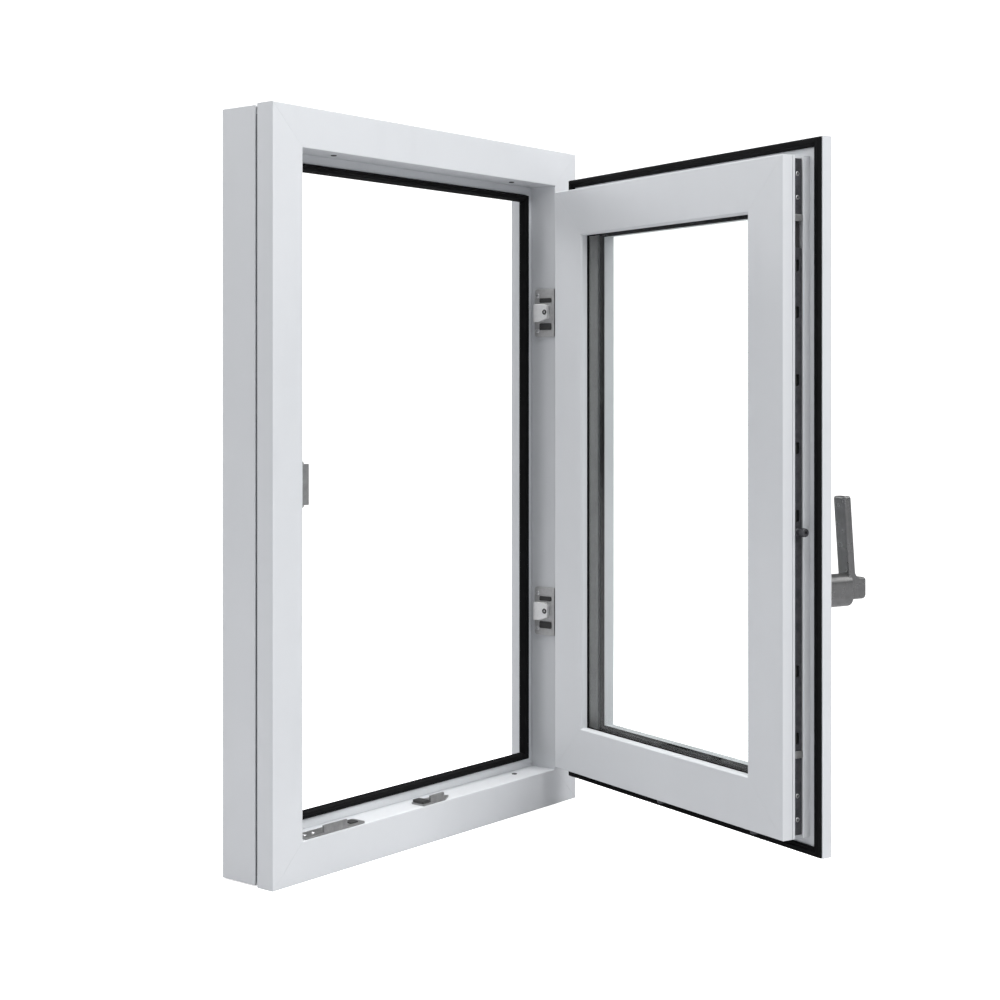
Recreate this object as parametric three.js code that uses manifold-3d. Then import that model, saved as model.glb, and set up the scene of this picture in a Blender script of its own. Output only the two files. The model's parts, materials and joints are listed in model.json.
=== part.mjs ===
// Inward-opening casement window: a mitred aluminium frame with a gasketed centre rib, a side-hung
// sash with an insulating glass unit, two butt hinges, and an espagnolette that one lever drives.
//
// Units are millimetres, +Z is up. +X points right as seen from the room, +Y points outdoors. The
// origin is on the frame's underside, midway along the sill and at the middle of its seating face.
//
// Every rail is a cross-section swept along one side of the window and mitred at both ends. In a
// cross-section the first number (u) is the distance in from the frame's outer edge, and the second
// (v) is the depth behind the frame's room face, so frame and sash sections share one grid while
// the sash is shut. The whole sash group is then turned about the hinge line to its open position.

import * as THREE from 'three';
import { mergeVertices } from 'three/addons/utils/BufferGeometryUtils.js';
import Module from 'manifold-3d';

const wasm = await Module();
wasm.setup();

// ---- driving dimensions -------------------------------------------------------------------

const FRAME_WIDTH = 585;
const FRAME_HEIGHT = 900;
const FRAME_DEPTH = 86;
const SEAT_CENTRE = 13; // depth of the origin behind the room face
const OPEN_ANGLE = THREE.MathUtils.degToRad(70.7);

const JOINT_GAP = 0.3; // running gap between pieces that touch
const MITRE_GAP = 0.4;
const WALL = 2.2; // aluminium wall

// frame section
const FACE = 48; // height of the frame's room face
const ROOM_TUBE = 26; // depth of the room-side tube
const STEP = 1.5; // the outdoor half stands back by this at the outer edge
const SHADOW_LINE = 5; // slot between the two halves at the outer edge
const RIB_FRONT = 41;
const RIB_BACK = 47;
const RIB_TOP = 59;

// sash section
const LIP_EDGE = 42.5; // the sash lip laps the frame face by FACE - LIP_EDGE
const SASH_EDGE = 63.5; // outer edge of the sash body, so the hardware gap is SASH_EDGE - FACE
const SIGHT_LINE = 125.5; // inner edge of the sash rails
const SASH_ROOM = -20.4; // room surface of the sash
const LIP_BACK = -6.2; // underside of the lip
const SASH_SPLIT = 19.2; // back of the sash's room half
const SASH_OUT = 34.2; // outdoor face of the sash
const REBATE_BASE = 103; // bottom of the glazing rebate
const GROOVE = { front: 3.7, back: 15.7, undercut: 1.5, lip: 2.5, floor: 75 };

// glass unit
const GLASS_EDGE = 108.5;
const GLASS_OUT = 21.4; // outdoor surface of the outer pane
const PANE = 4;
const CAVITY = 14;
const GLASS_SEAL = 3; // depth of each glazing gasket
const SPACER = { inset: 3, width: 9 };
const SETTING_BLOCK = { halfLength: 35, fromSide: 40, front: 1, back: 17 };

// hinge line and hinges
const HINGE_X = FRAME_WIDTH / 2 - 31;
const HINGE_Y = SASH_ROOM;
const HINGE_HEIGHTS = { lower: 265, upper: 677 };
const BARREL_RADIUS = 8.5;
const PIN_RADIUS = 3.5;
const PIN_BORE = 3.8;
const HINGE_HALF = 33; // half the height of a hinge
const KNUCKLE_HALF = 12; // half the height of the sash knuckle
const FRAME_LEAF = { edge: 9, front: -2.8, thickness: 3, back: 33, halfNeck: 5 };
const SASH_LEAF = { thickness: 4, arm: 20, near: 13, far: 52, half: 28 };
const CLAMP = { thickness: 6, front: 7, back: 31, half: 12.5 };
const PIN_CAP = { radius: 6.5, height: 3 };

// lock
const HANDLE_HEIGHT = 339;
const HANDLE_U = 76; // spindle axis, in from the frame's outer edge
const LEVER_REACH = 109; // spindle axis to lever tip
const ROSETTE = { halfWidth: 15.5, halfHeight: 34, corner: 8, depth: 10, bore: 10.5, spigot: 10 };
const NECK = { halfWidth: 12, halfHeight: 19, reach: 55, hubReach: 76, hubLow: -11, hubHigh: 14 };
const BLADE = { halfBlade: 10, inside: 49.5, outside: 60, lean: 7.5, chamfer: 3 };
const ROD_TRAVEL = 36;
const ROD = { front: 66.4, back: 69, low: 3.2, high: 16.2 };
const ROD_FOOT = 158;
const ROD_HEAD = 732; // rises by ROD_TRAVEL, to just below the top corner drive
const CAM_RADIUS = 5;
const CAM_TIP = 52.5; // how far out the cams reach
const STILE_CAM_HEIGHT = 410;
const SILL_CAMS = { corner: 141, mid: 319 }; // from the frame's lock-side edge, lever up
// each keep's plate and raised lip run between these places along the rail
const KEEP_SPANS = {
  lock_jamb_keep: { from: 434, to: 488, lipFrom: 437, lipTo: 485 },
  sill_corner_keep: { from: 54, to: 155, lipFrom: 84, lipTo: 124 },
  sill_mid_keep: { from: 262, to: 323, lipFrom: 276, lipTo: 302 },
};
const KEEP = { base: 2.5, reach: 11, front: 0.8, lipBack: 4.2, back: 22 };
const BOTTOM_ROD = { from: 126, to: 345 }; // lever up, before the rod's travel is taken off
const CORNER_DRIVE = { along: 120, up: 154, down: 130 };
const MORTISE = { back: 92, front: 1.5, rear: 17.2, half: 60 }; // room for the gearbox
const SPINDLE_HOLE = 7; // radius, through the stile's room wall
const GEARBOX = { back: 91, low: 2.6, high: 16.8, half: 55 };

// ---- materials ----------------------------------------------------------------------------

const finish = (color, roughness, metalness) => ({ color, roughness, metalness });
const FINISH = {
  coated: finish(0xdfe3e6, 0.38, 0.35),
  polyamide: finish(0x26272a, 0.6, 0),
  rubber: finish(0x151618, 0.7, 0),
  glass: finish(0xeef3f4, 0.05, 0),
  zinc: finish(0xb9bcbf, 0.35, 0.9),
  cast: finish(0x9b9da0, 0.45, 0.7),
  handle: finish(0x8f9194, 0.32, 0.6),
  spacer: finish(0xb4b7ba, 0.3, 0.9),
  nylon: finish(0x2e3033, 0.5, 0),
};

function material({ color, roughness, metalness }) {
  return new THREE.MeshStandardMaterial({ color, roughness, metalness });
}

function addMesh(parent, name, geometry, look) {
  const mesh = new THREE.Mesh(geometry, material(FINISH[look]));
  mesh.name = name;
  parent.add(mesh);
  return mesh;
}

// ---- solids -------------------------------------------------------------------------------

function shapeOf(points, holes = []) {
  const shape = new THREE.Shape(points.map(([u, v]) => new THREE.Vector2(u, v)));
  for (const hole of holes) {
    shape.holes.push(new THREE.Path(hole.map(([u, v]) => new THREE.Vector2(u, v))));
  }
  return shape;
}

const rectangle = (u0, u1, v0, v1) => [[u0, v0], [u1, v0], [u1, v1], [u0, v1]];

/** A rail along -Z side of a rectangle: a section swept along X and cut at 45 degrees both ends. */
function mitredRail(section, length) {
  const geometry = new THREE.ExtrudeGeometry(section, { depth: 1, bevelEnabled: false });
  const position = geometry.attributes.position;
  for (let i = 0; i < position.count; i += 1) {
    const u = position.getX(i);
    const half = length / 2 - u - MITRE_GAP / 2;
    position.setXYZ(i, half * (1 - 2 * position.getZ(i)), position.getY(i), u);
  }
  return geometry;
}

/** A one-piece ring: a section swept round all four sides of the window. */
function ring(outline, width, height) {
  const clockwise = THREE.ShapeUtils.isClockWise(outline.map(([x, y]) => ({ x, y })));
  const points = clockwise ? [...outline].reverse() : outline;
  const corners = [[-1, 1], [1, 1], [1, -1], [-1, -1]];
  const vertices = [];
  for (const [sx, sz] of corners) {
    for (const [u, v] of points) {
      vertices.push(sx * (width / 2 - u), v, height / 2 + sz * (height / 2 - u));
    }
  }
  const count = points.length;
  const index = [];
  for (let corner = 0; corner < 4; corner += 1) {
    const next = (corner + 1) % 4;
    for (let i = 0; i < count; i += 1) {
      const j = (i + 1) % count;
      const [a, b] = [corner * count + i, corner * count + j];
      const [c, d] = [next * count + j, next * count + i];
      index.push(a, b, c, a, c, d);
    }
  }
  const geometry = new THREE.BufferGeometry();
  geometry.setAttribute('position', new THREE.Float32BufferAttribute(vertices, 3));
  geometry.setIndex(index);
  return geometry;
}

function box(x0, x1, y0, y1, z0, z1) {
  const geometry = new THREE.BoxGeometry(x1 - x0, y1 - y0, z1 - z0);
  return geometry.translate((x0 + x1) / 2, (y0 + y1) / 2, (z0 + z1) / 2);
}

/** An upright cylinder on the axis x, y between two heights. */
function upright(radius, x, y, z0, z1, segments = 32) {
  const geometry = new THREE.CylinderGeometry(radius, radius, z1 - z0, segments);
  return geometry.rotateX(Math.PI / 2).translate(x, y, (z0 + z1) / 2);
}

/** An outline in X and Z carried from one depth to another along Y. */
function plate(points, y0, y1, holes = []) {
  const geometry = new THREE.ExtrudeGeometry(shapeOf(points, holes), {
    depth: y1 - y0,
    bevelEnabled: false,
  });
  return geometry.rotateX(Math.PI / 2).translate(0, y1, 0);
}

function toSolid(geometry) {
  const bare = geometry.clone();
  bare.deleteAttribute('normal');
  bare.deleteAttribute('uv');
  const merged = mergeVertices(bare, 1e-4);
  return new wasm.Manifold(new wasm.Mesh({
    numProp: 3,
    vertProperties: new Float32Array(merged.attributes.position.array),
    triVerts: new Uint32Array(merged.index.array),
  }));
}

function toGeometry(solid) {
  const { vertProperties, triVerts } = solid.getMesh();
  const geometry = new THREE.BufferGeometry();
  geometry.setAttribute('position', new THREE.Float32BufferAttribute(vertProperties, 3));
  geometry.setIndex(Array.from(triVerts));
  return geometry;
}

function join(...geometries) {
  return toGeometry(geometries.map(toSolid).reduce((sum, solid) => sum.add(solid)));
}

function cut(geometry, ...tools) {
  return toGeometry(tools.map(toSolid).reduce((rest, tool) => rest.subtract(tool), toSolid(geometry)));
}

/** The ring polygon of a hollow chamber, with walls of the usual thickness. */
const chamber = (u0, u1, v0, v1) => rectangle(u0 + WALL, u1 - WALL, v0 + WALL, v1 - WALL);

// ---- the four sides of the window -----------------------------------------------------------

const SIDES = [
  { side: 'bottom', turn: 0, length: FRAME_WIDTH, reach: FRAME_HEIGHT / 2 },
  { side: 'hinge', turn: -Math.PI / 2, length: FRAME_HEIGHT, reach: FRAME_WIDTH / 2 },
  { side: 'top', turn: Math.PI, length: FRAME_WIDTH, reach: FRAME_HEIGHT / 2 },
  { side: 'lock', turn: Math.PI / 2, length: FRAME_HEIGHT, reach: FRAME_WIDTH / 2 },
];

/** Turn a rail made for the bottom into its place on one side of the window. */
function placeOnSide(geometry, { turn, reach }) {
  return geometry.translate(0, 0, -reach).rotateY(turn).translate(0, 0, FRAME_HEIGHT / 2);
}

function addRails(parent, names, section, look, change = (geometry) => geometry) {
  for (const place of SIDES) {
    const rail = placeOnSide(mitredRail(section, place.length), place);
    addMesh(parent, names[place.side], change(rail, place.side), look);
  }
}

const FRAME_NAMES = { bottom: 'sill', hinge: 'hinge_jamb', top: 'head', lock: 'lock_jamb' };
const SASH_NAMES = {
  bottom: 'bottom_rail', hinge: 'hinge_stile', top: 'top_rail', lock: 'lock_stile',
};

function named(names, before, after) {
  return Object.fromEntries(
    Object.entries(names).map(([side, name]) => [side, `${before}${name}${after}`]),
  );
}

// ---- frame ----------------------------------------------------------------------------------

function addFrameRails(frame) {
  const flange = 3.2; // cover over the thermal break, in the rebate
  const outdoorEdge = 36; // the outdoor half falls away to this height, to shed water
  const slopeTop = FACE - 3;
  const back = ROOM_TUBE + 16.5; // back of the thermal break
  const outer = STEP + 2.5; // inside of the outdoor half's cover over the break
  const roomSection = shapeOf([
    [0, 0], [FACE, 0], [FACE, RIB_FRONT - JOINT_GAP], [FACE - flange, RIB_FRONT - JOINT_GAP],
    [FACE - flange, ROOM_TUBE], [0, ROOM_TUBE],
  ], [chamber(0, FACE, 0, ROOM_TUBE)]);
  const outdoorSection = shapeOf([
    [STEP, ROOM_TUBE + SHADOW_LINE], [STEP, FRAME_DEPTH], [outdoorEdge, FRAME_DEPTH],
    [slopeTop, RIB_BACK + 5], [slopeTop, RIB_BACK], [RIB_TOP, RIB_BACK], [RIB_TOP, RIB_FRONT],
    [FACE - 7, RIB_FRONT], [FACE - 7, back], [outer, back], [outer, ROOM_TUBE + SHADOW_LINE],
  ], [[
    [outer, back + WALL], [slopeTop - WALL, back + WALL], [slopeTop - WALL, RIB_BACK + 4.5],
    [outdoorEdge - 2, FRAME_DEPTH - WALL], [outer, FRAME_DEPTH - WALL],
  ]]);
  const breakFront = ROOM_TUBE + JOINT_GAP;
  const breakSection = shapeOf(
    rectangle(10, 38, breakFront, back - JOINT_GAP),
    [chamber(10, 38, breakFront, back - JOINT_GAP)],
  );
  addRails(frame, named(FRAME_NAMES, 'frame_', '_room_half'), roomSection, 'coated');
  addRails(frame, named(FRAME_NAMES, 'frame_', '_outdoor_half'), outdoorSection, 'coated');
  addRails(frame, named(FRAME_NAMES, 'frame_', '_thermal_break'), breakSection, 'polyamide');
}

/** The centre gasket sits on the rib and its bulb faces the sash. */
function addCentreGasket(frame) {
  const foot = RIB_TOP + JOINT_GAP;
  const profile = [
    [foot, RIB_FRONT + 0.5], [foot, RIB_BACK - 0.5], [foot + 3, RIB_BACK + 1.5], [68.5, RIB_BACK],
    [69.5, RIB_BACK - 3], [67, 38], [64, 35.6], [61.5, 35.2], [60.2, 36.8], [61, 39.5],
  ];
  addMesh(frame, 'frame_centre_gasket', ring(profile, FRAME_WIDTH, FRAME_HEIGHT), 'rubber');
}

/** Cast L-shaped cleats fill the room-side chamber at each corner and hold the mitre shut. */
function addCornerCleats(frame) {
  const near = WALL + JOINT_GAP;
  const far = FACE - WALL - JOINT_GAP;
  const arm = 78;
  const outline = [[near, near], [arm, near], [arm, far], [far, far], [far, arm], [near, arm]];
  for (const row of ['bottom', 'top']) {
    for (const column of ['lock', 'hinge']) {
      const points = outline.map(([a, b]) => [
        column === 'hinge' ? FRAME_WIDTH / 2 - a : a - FRAME_WIDTH / 2,
        row === 'top' ? FRAME_HEIGHT - b : b,
      ]);
      addMesh(frame, `corner_cleat_${row}_${column}`, plate(points, near, ROOM_TUBE - near), 'cast');
    }
  }
}

/** A striker: a base plate on the rebate and a raised lip that the cam pulls in behind. */
function keepSection({ from, to, lipFrom, lipTo }, toPlace) {
  const { base, reach, front, lipBack, back } = KEEP;
  return join(
    toPlace(from, to, FACE + JOINT_GAP, FACE + base, front, back),
    toPlace(lipFrom, lipTo, FACE + base - 1, FACE + reach, front, lipBack),
  );
}

function addKeeps(frame) {
  const edge = -FRAME_WIDTH / 2; // the lock-side edge of the frame
  const onSill = (from, to, u0, u1, v0, v1) => box(edge + from, edge + to, v0, v1, u0, u1);
  const onJamb = (from, to, u0, u1, v0, v1) => box(edge + u0, edge + u1, v0, v1, from, to);
  for (const [name, spans] of Object.entries(KEEP_SPANS)) {
    const toPlace = name.startsWith('sill') ? onSill : onJamb;
    addMesh(frame, name, keepSection(spans, toPlace), 'zinc');
  }
}

// ---- hinges ---------------------------------------------------------------------------------

function knuckle(height, z0, z1) {
  return cut(
    upright(BARREL_RADIUS, HINGE_X, HINGE_Y, height + z0, height + z1),
    upright(PIN_BORE, HINGE_X, HINGE_Y, height + z0 - 1, height + z1 + 1),
  );
}

/** Frame leaf: two knuckles on necks, a plate on the room face and a return into the rebate. */
function frameLeaf(height) {
  const { edge, front, thickness, back, halfNeck } = FRAME_LEAF;
  const rebate = FRAME_WIDTH / 2 - FACE - JOINT_GAP;
  const [low, high] = [height - HINGE_HALF, height + HINGE_HALF];
  const ends = [[-HINGE_HALF, -KNUCKLE_HALF - JOINT_GAP], [KNUCKLE_HALF + JOINT_GAP, HINGE_HALF]];
  const neckStart = HINGE_Y + PIN_BORE + 1.5;
  const [neckLeft, neckRight] = [HINGE_X - halfNeck, HINGE_X + halfNeck];
  const pieces = [
    box(rebate - thickness, HINGE_X + edge, front, -JOINT_GAP, low, high),
    box(rebate - thickness, rebate, front, back, low, high),
  ];
  for (const [z0, z1] of ends) {
    pieces.push(knuckle(height, z0, z1));
    pieces.push(box(neckLeft, neckRight, neckStart, front + 1, height + z0, height + z1));
  }
  return join(...pieces);
}

/** Sash leaf: one knuckle between the frame's two, on an arm from a plate on the sash. */
function sashLeaf(height) {
  const { thickness, arm, near, far, half } = SASH_LEAF;
  const plateBack = HINGE_Y - JOINT_GAP;
  const plateFront = plateBack - thickness;
  const free = KNUCKLE_HALF - JOINT_GAP;
  const armEnd = HINGE_X - PIN_BORE - 1.5;
  return join(
    knuckle(height, -free, free),
    box(HINGE_X - arm, armEnd, plateFront, plateBack, height - free, height + free),
    box(HINGE_X - far, HINGE_X - near, plateFront, plateBack, height - half, height + half),
  );
}

/** Pin with a flanged cap at each end. */
function hingePin(height) {
  const cap = PIN_CAP.radius;
  const start = HINGE_HALF + JOINT_GAP;
  const end = start + PIN_CAP.height;
  const profile = [
    [0, -end], [cap, -end], [cap, -start], [PIN_RADIUS, -start],
    [PIN_RADIUS, start], [cap, start], [cap, end], [0, end],
  ];
  const points = profile.map(([radius, along]) => new THREE.Vector2(radius, along));
  const geometry = new THREE.LatheGeometry(points, 32);
  return geometry.rotateX(Math.PI / 2).translate(HINGE_X, HINGE_Y, height);
}

/** Clamp that grips the frame leaf's return against the rebate. */
function hingeClamp(height) {
  const { thickness, front, back, half } = CLAMP;
  const x = FRAME_WIDTH / 2 - FACE - 2 * JOINT_GAP - FRAME_LEAF.thickness;
  return box(x - thickness, x, front, back, height - half, height + half);
}

function addHinges(frame, sash) {
  for (const [name, height] of Object.entries(HINGE_HEIGHTS)) {
    addMesh(frame, `hinge_${name}_frame_leaf`, frameLeaf(height), 'zinc');
    addMesh(frame, `hinge_${name}_clamp`, hingeClamp(height), 'zinc');
    addMesh(frame, `hinge_${name}_pin`, hingePin(height), 'cast');
    addMesh(sash, `hinge_${name}_sash_leaf`, sashLeaf(height), 'zinc');
  }
}

// ---- sash -----------------------------------------------------------------------------------

/** The lock stile is pierced for the gearbox and the spindle. */
function pierceLockStile(geometry, side) {
  if (side !== 'lock') return geometry;
  const edge = -FRAME_WIDTH / 2;
  const { back, front, rear, half } = MORTISE;
  const spindleHole = new THREE.CylinderGeometry(SPINDLE_HOLE, SPINDLE_HOLE, 12, 24)
    .translate(edge + HANDLE_U, SASH_ROOM, HANDLE_HEIGHT);
  return cut(
    geometry,
    box(edge + GROOVE.floor - 1, edge + back, front, rear, HANDLE_HEIGHT - half, HANDLE_HEIGHT + half),
    spindleHole,
    squareBar(5, SASH_ROOM + 1, 3),
  );
}

function addSashRails(sash) {
  const { front, back, undercut, lip, floor } = GROOVE;
  const inner = SASH_EDGE + lip;
  const roomSection = shapeOf([
    [LIP_EDGE, SASH_ROOM], [REBATE_BASE, SASH_ROOM], [REBATE_BASE, SASH_SPLIT],
    [SASH_EDGE, SASH_SPLIT], [SASH_EDGE, back], [inner, back], [inner, back + undercut],
    [floor, back + undercut], [floor, front - undercut], [inner, front - undercut],
    [inner, front], [SASH_EDGE, front], [SASH_EDGE, LIP_BACK], [LIP_EDGE, LIP_BACK],
  ], [
    rectangle(floor + WALL, REBATE_BASE - WALL, SASH_ROOM + WALL, SASH_SPLIT - WALL),
    rectangle(LIP_EDGE + WALL, floor, SASH_ROOM + lip, LIP_BACK - lip),
  ]);
  const faceBack = SASH_OUT - 3;
  const leg = 110; // start of the glazing leg
  const legFront = GLASS_OUT + GLASS_SEAL;
  const outdoorSection = shapeOf([
    [SASH_EDGE, SASH_SPLIT + 0.6], [SASH_EDGE, SASH_OUT], [SIGHT_LINE - 2, SASH_OUT],
    [SIGHT_LINE, SASH_OUT - 2], [SIGHT_LINE, legFront], [leg, legFront], [leg, faceBack],
    [SASH_EDGE + 2.5, faceBack], [SASH_EDGE + 2.5, SASH_SPLIT + 0.6],
  ], [chamber(leg, SIGHT_LINE, legFront, SASH_OUT)]);
  addRails(sash, named(SASH_NAMES, 'sash_', '_room_half'), roomSection, 'coated', pierceLockStile);
  addRails(sash, named(SASH_NAMES, 'sash_', '_outdoor_half'), outdoorSection, 'coated');
  const thermalBreak = rectangle(70, 100, SASH_SPLIT + JOINT_GAP, faceBack - JOINT_GAP);
  addMesh(sash, 'sash_thermal_break', ring(thermalBreak, FRAME_WIDTH, FRAME_HEIGHT), 'polyamide');
}

/** The lip's gasket seals on the frame's room face, and is notched over the hinge plates. */
function addOverlapGasket(sash) {
  const seat = LIP_BACK + JOINT_GAP;
  const profile = [
    [LIP_EDGE + 0.8, seat], [54, seat], [54, seat + 2], [50.5, -2.4], [47, -0.6], [44.5, -1.2],
    [LIP_EDGE + 0.8, -3.6],
  ];
  const notches = Object.values(HINGE_HEIGHTS).map((height) => (
    box(HINGE_X - 26, HINGE_X, -3.4, 1, height - HINGE_HALF - 1, height + HINGE_HALF + 1)
  ));
  const gasket = cut(ring(profile, FRAME_WIDTH, FRAME_HEIGHT), ...notches);
  addMesh(sash, 'sash_overlap_gasket', gasket, 'rubber');
}

function pane(front) {
  const halfWidth = FRAME_WIDTH / 2 - GLASS_EDGE;
  return box(-halfWidth, halfWidth, front, front + PANE, GLASS_EDGE, FRAME_HEIGHT - GLASS_EDGE);
}

/** Double glazing with its seals, spacer, setting blocks and snap-in beads. */
function addGlazing(sash) {
  const roomFront = GLASS_OUT - 2 * PANE - CAVITY;
  const addRing = (name, points, look) => (
    addMesh(sash, name, ring(points, FRAME_WIDTH, FRAME_HEIGHT), look)
  );
  addMesh(sash, 'glass_pane_outdoor', pane(GLASS_OUT - PANE), 'glass');
  addMesh(sash, 'glass_pane_room', pane(roomFront), 'glass');
  addRing('glass_spacer_bar', rectangle(
    GLASS_EDGE + SPACER.inset, GLASS_EDGE + SPACER.inset + SPACER.width,
    roomFront + PANE + JOINT_GAP, GLASS_OUT - PANE - JOINT_GAP,
  ), 'spacer');
  addRing('glazing_gasket_outdoor', rectangle(
    SIGHT_LINE - 8, SIGHT_LINE + 1, GLASS_OUT + JOINT_GAP, GLASS_OUT + GLASS_SEAL - JOINT_GAP,
  ), 'rubber');
  const beadBack = roomFront - GLASS_SEAL;
  addRing('glazing_gasket_room', rectangle(
    SIGHT_LINE - 8, SIGHT_LINE + 1, beadBack + JOINT_GAP, roomFront - JOINT_GAP,
  ), 'rubber');
  const beadFoot = REBATE_BASE + JOINT_GAP;
  const beadSection = shapeOf([
    [beadFoot, SASH_ROOM], [SIGHT_LINE - 2.5, SASH_ROOM], [SIGHT_LINE, SASH_ROOM + 2.5],
    [SIGHT_LINE, beadBack], [beadFoot + 3.5, beadBack], [beadFoot + 3.5, -8], [beadFoot, -8],
  ]);
  addRails(sash, named(SASH_NAMES, 'glazing_bead_', ''), beadSection, 'coated');
  const { halfLength, fromSide, front, back } = SETTING_BLOCK;
  const centre = FRAME_WIDTH / 2 - SIGHT_LINE - fromSide;
  for (const [name, x] of [['lock_side', -centre], ['hinge_side', centre]]) {
    const block = box(
      x - halfLength, x + halfLength, front, back, REBATE_BASE + JOINT_GAP, GLASS_EDGE - JOINT_GAP,
    );
    addMesh(sash, `setting_block_${name}`, block, 'nylon');
  }
}

// ---- lock -----------------------------------------------------------------------------------

const LOCK_EDGE = -FRAME_WIDTH / 2;
const SPINDLE_X = LOCK_EDGE + HANDLE_U;
const SPINDLE_HALF = 3.5;
const SPINDLE_BORE = 5.4; // clears the corners of the square spindle
const SPINDLE_START = SASH_ROOM - 6;
const SPINDLE_END = 11;

/** A mushroom cam on the rod: it stands across the hardware gap and reaches out to the keeps. */
function camProfile() {
  const start = ROD.front - JOINT_GAP;
  const length = start - CAM_TIP;
  return [
    [0, 0], [3.6, 0], [3.6, length - 7], [CAM_RADIUS, length - 6], [CAM_RADIUS, length - 0.8],
    [CAM_RADIUS - 0.8, length], [0, length],
  ].map(([radius, along]) => new THREE.Vector2(radius, along));
}

const GROOVE_MIDDLE = (GROOVE.front + GROOVE.back) / 2;

function stileCam() {
  return new THREE.LatheGeometry(camProfile(), 24).rotateZ(Math.PI / 2)
    .translate(LOCK_EDGE + ROD.front - JOINT_GAP, GROOVE_MIDDLE, STILE_CAM_HEIGHT);
}

function sillCam(x) {
  return new THREE.LatheGeometry(camProfile(), 24).rotateX(-Math.PI / 2)
    .translate(LOCK_EDGE + x, GROOVE_MIDDLE, ROD.front - JOINT_GAP);
}

function addRods(stileRod, bottomRod) {
  const { front, back, low, high } = ROD;
  const stile = box(LOCK_EDGE + front, LOCK_EDGE + back, low, high, ROD_FOOT, ROD_HEAD);
  addMesh(stileRod, 'stile_drive_rod', stile, 'cast');
  addMesh(stileRod, 'stile_cam', stileCam(), 'zinc');
  const bottomStart = LOCK_EDGE + BOTTOM_ROD.from + ROD_TRAVEL;
  const bottom = box(bottomStart, LOCK_EDGE + BOTTOM_ROD.to, low, high, front, back);
  addMesh(bottomRod, 'bottom_drive_rod', bottom, 'cast');
  for (const [name, x] of Object.entries(SILL_CAMS)) {
    addMesh(bottomRod, `bottom_cam_${name}`, sillCam(x), 'zinc');
  }
}

/** An angle piece that carries the drive round a free corner, flush in the groove. */
function cornerDrive(upper) {
  const { front, back, low, high } = ROD;
  const { along, up, down } = CORNER_DRIVE;
  const arm = upper ? down : up;
  const outline = [
    [front, front], [along, front], [along, back], [back, back], [back, arm], [front, arm],
  ].map(([a, b]) => [LOCK_EDGE + a, upper ? FRAME_HEIGHT - b : b]);
  return plate(outline, low, high);
}

/** The gearbox sits behind the drive rod, bored so that the square spindle can turn inside it. */
function gearbox() {
  const { back, low, high, half } = GEARBOX;
  const body = box(
    LOCK_EDGE + ROD.back + JOINT_GAP, LOCK_EDGE + back, low, high,
    HANDLE_HEIGHT - half, HANDLE_HEIGHT + half,
  );
  const bore = new THREE.CylinderGeometry(SPINDLE_BORE, SPINDLE_BORE, SPINDLE_END + 1, 32)
    .translate(SPINDLE_X, (SPINDLE_END + 1) / 2, HANDLE_HEIGHT);
  return cut(body, bore);
}

/** Rounded outline in X and Z about a centre, with half sizes and a corner radius. */
function roundedOutline(cx, cz, halfX, halfZ, radius, steps = 6) {
  const points = [];
  const corners = [[1, 1, 0], [-1, 1, 1], [-1, -1, 2], [1, -1, 3]];
  for (const [sx, sz, quarter] of corners) {
    for (let i = 0; i <= steps; i += 1) {
      const angle = (quarter + i / steps) * Math.PI / 2;
      points.push([
        cx + sx * (halfX - radius) + radius * Math.cos(angle),
        cz + sz * (halfZ - radius) + radius * Math.sin(angle),
      ]);
    }
  }
  return points;
}

/** Rosette: an oblong cover on the stile, bored for the lever's spigot. */
function rosette() {
  const back = SASH_ROOM - JOINT_GAP;
  const { halfWidth, halfHeight, corner, depth, bore } = ROSETTE;
  return cut(
    plate(roundedOutline(SPINDLE_X, HANDLE_HEIGHT, halfWidth, halfHeight, corner), back - depth, back),
    new THREE.CylinderGeometry(bore, bore, 3 * depth, 32).translate(SPINDLE_X, back, HANDLE_HEIGHT),
  );
}

/**
 * Lever: a round spigot in the rosette, an oblong neck, a hub on the neck's end, and a flat blade
 * that rises from the neck and leans back towards the sash.
 */
function lever() {
  const rosetteFront = SASH_ROOM - JOINT_GAP - ROSETTE.depth;
  const { halfWidth, halfHeight, reach, hubReach, hubLow, hubHigh } = NECK;
  const { halfBlade, inside, outside, lean, chamfer } = BLADE;
  const spigot = new THREE.CylinderGeometry(ROSETTE.spigot, ROSETTE.spigot, 12, 32)
    .translate(SPINDLE_X, rosetteFront + 4, HANDLE_HEIGHT);
  const neck = plate(
    roundedOutline(SPINDLE_X, HANDLE_HEIGHT, halfWidth, halfHeight, 6),
    SASH_ROOM - reach, rosetteFront - JOINT_GAP,
  );
  // distance from the sash, then height from the spindle axis
  const side = [
    [inside, hubLow], [hubReach, hubLow], [hubReach, hubHigh], [outside, hubHigh + 1],
    [outside - lean, LEVER_REACH - chamfer], [outside - lean - 1, LEVER_REACH],
    [inside - lean + 1, LEVER_REACH], [inside - lean, LEVER_REACH - chamfer], [inside, hubHigh + 1],
  ].map(([out, up]) => [SASH_ROOM - out, HANDLE_HEIGHT + up]);
  // the outline lies in Y and Z, and the blade's width runs along X
  const blade = new THREE.ExtrudeGeometry(shapeOf(side), { depth: 2 * halfBlade, bevelEnabled: false })
    .rotateY(Math.PI / 2).rotateX(Math.PI / 2).translate(SPINDLE_X - halfBlade, 0, 0);
  return cut(join(spigot, neck, blade), squareBar(SPINDLE_HALF + JOINT_GAP, SPINDLE_START - 1, 0));
}

/** A bar of square section on the spindle axis, between two depths. */
function squareBar(half, from, to) {
  return box(
    SPINDLE_X - half, SPINDLE_X + half, from, to, HANDLE_HEIGHT - half, HANDLE_HEIGHT + half,
  );
}

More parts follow.
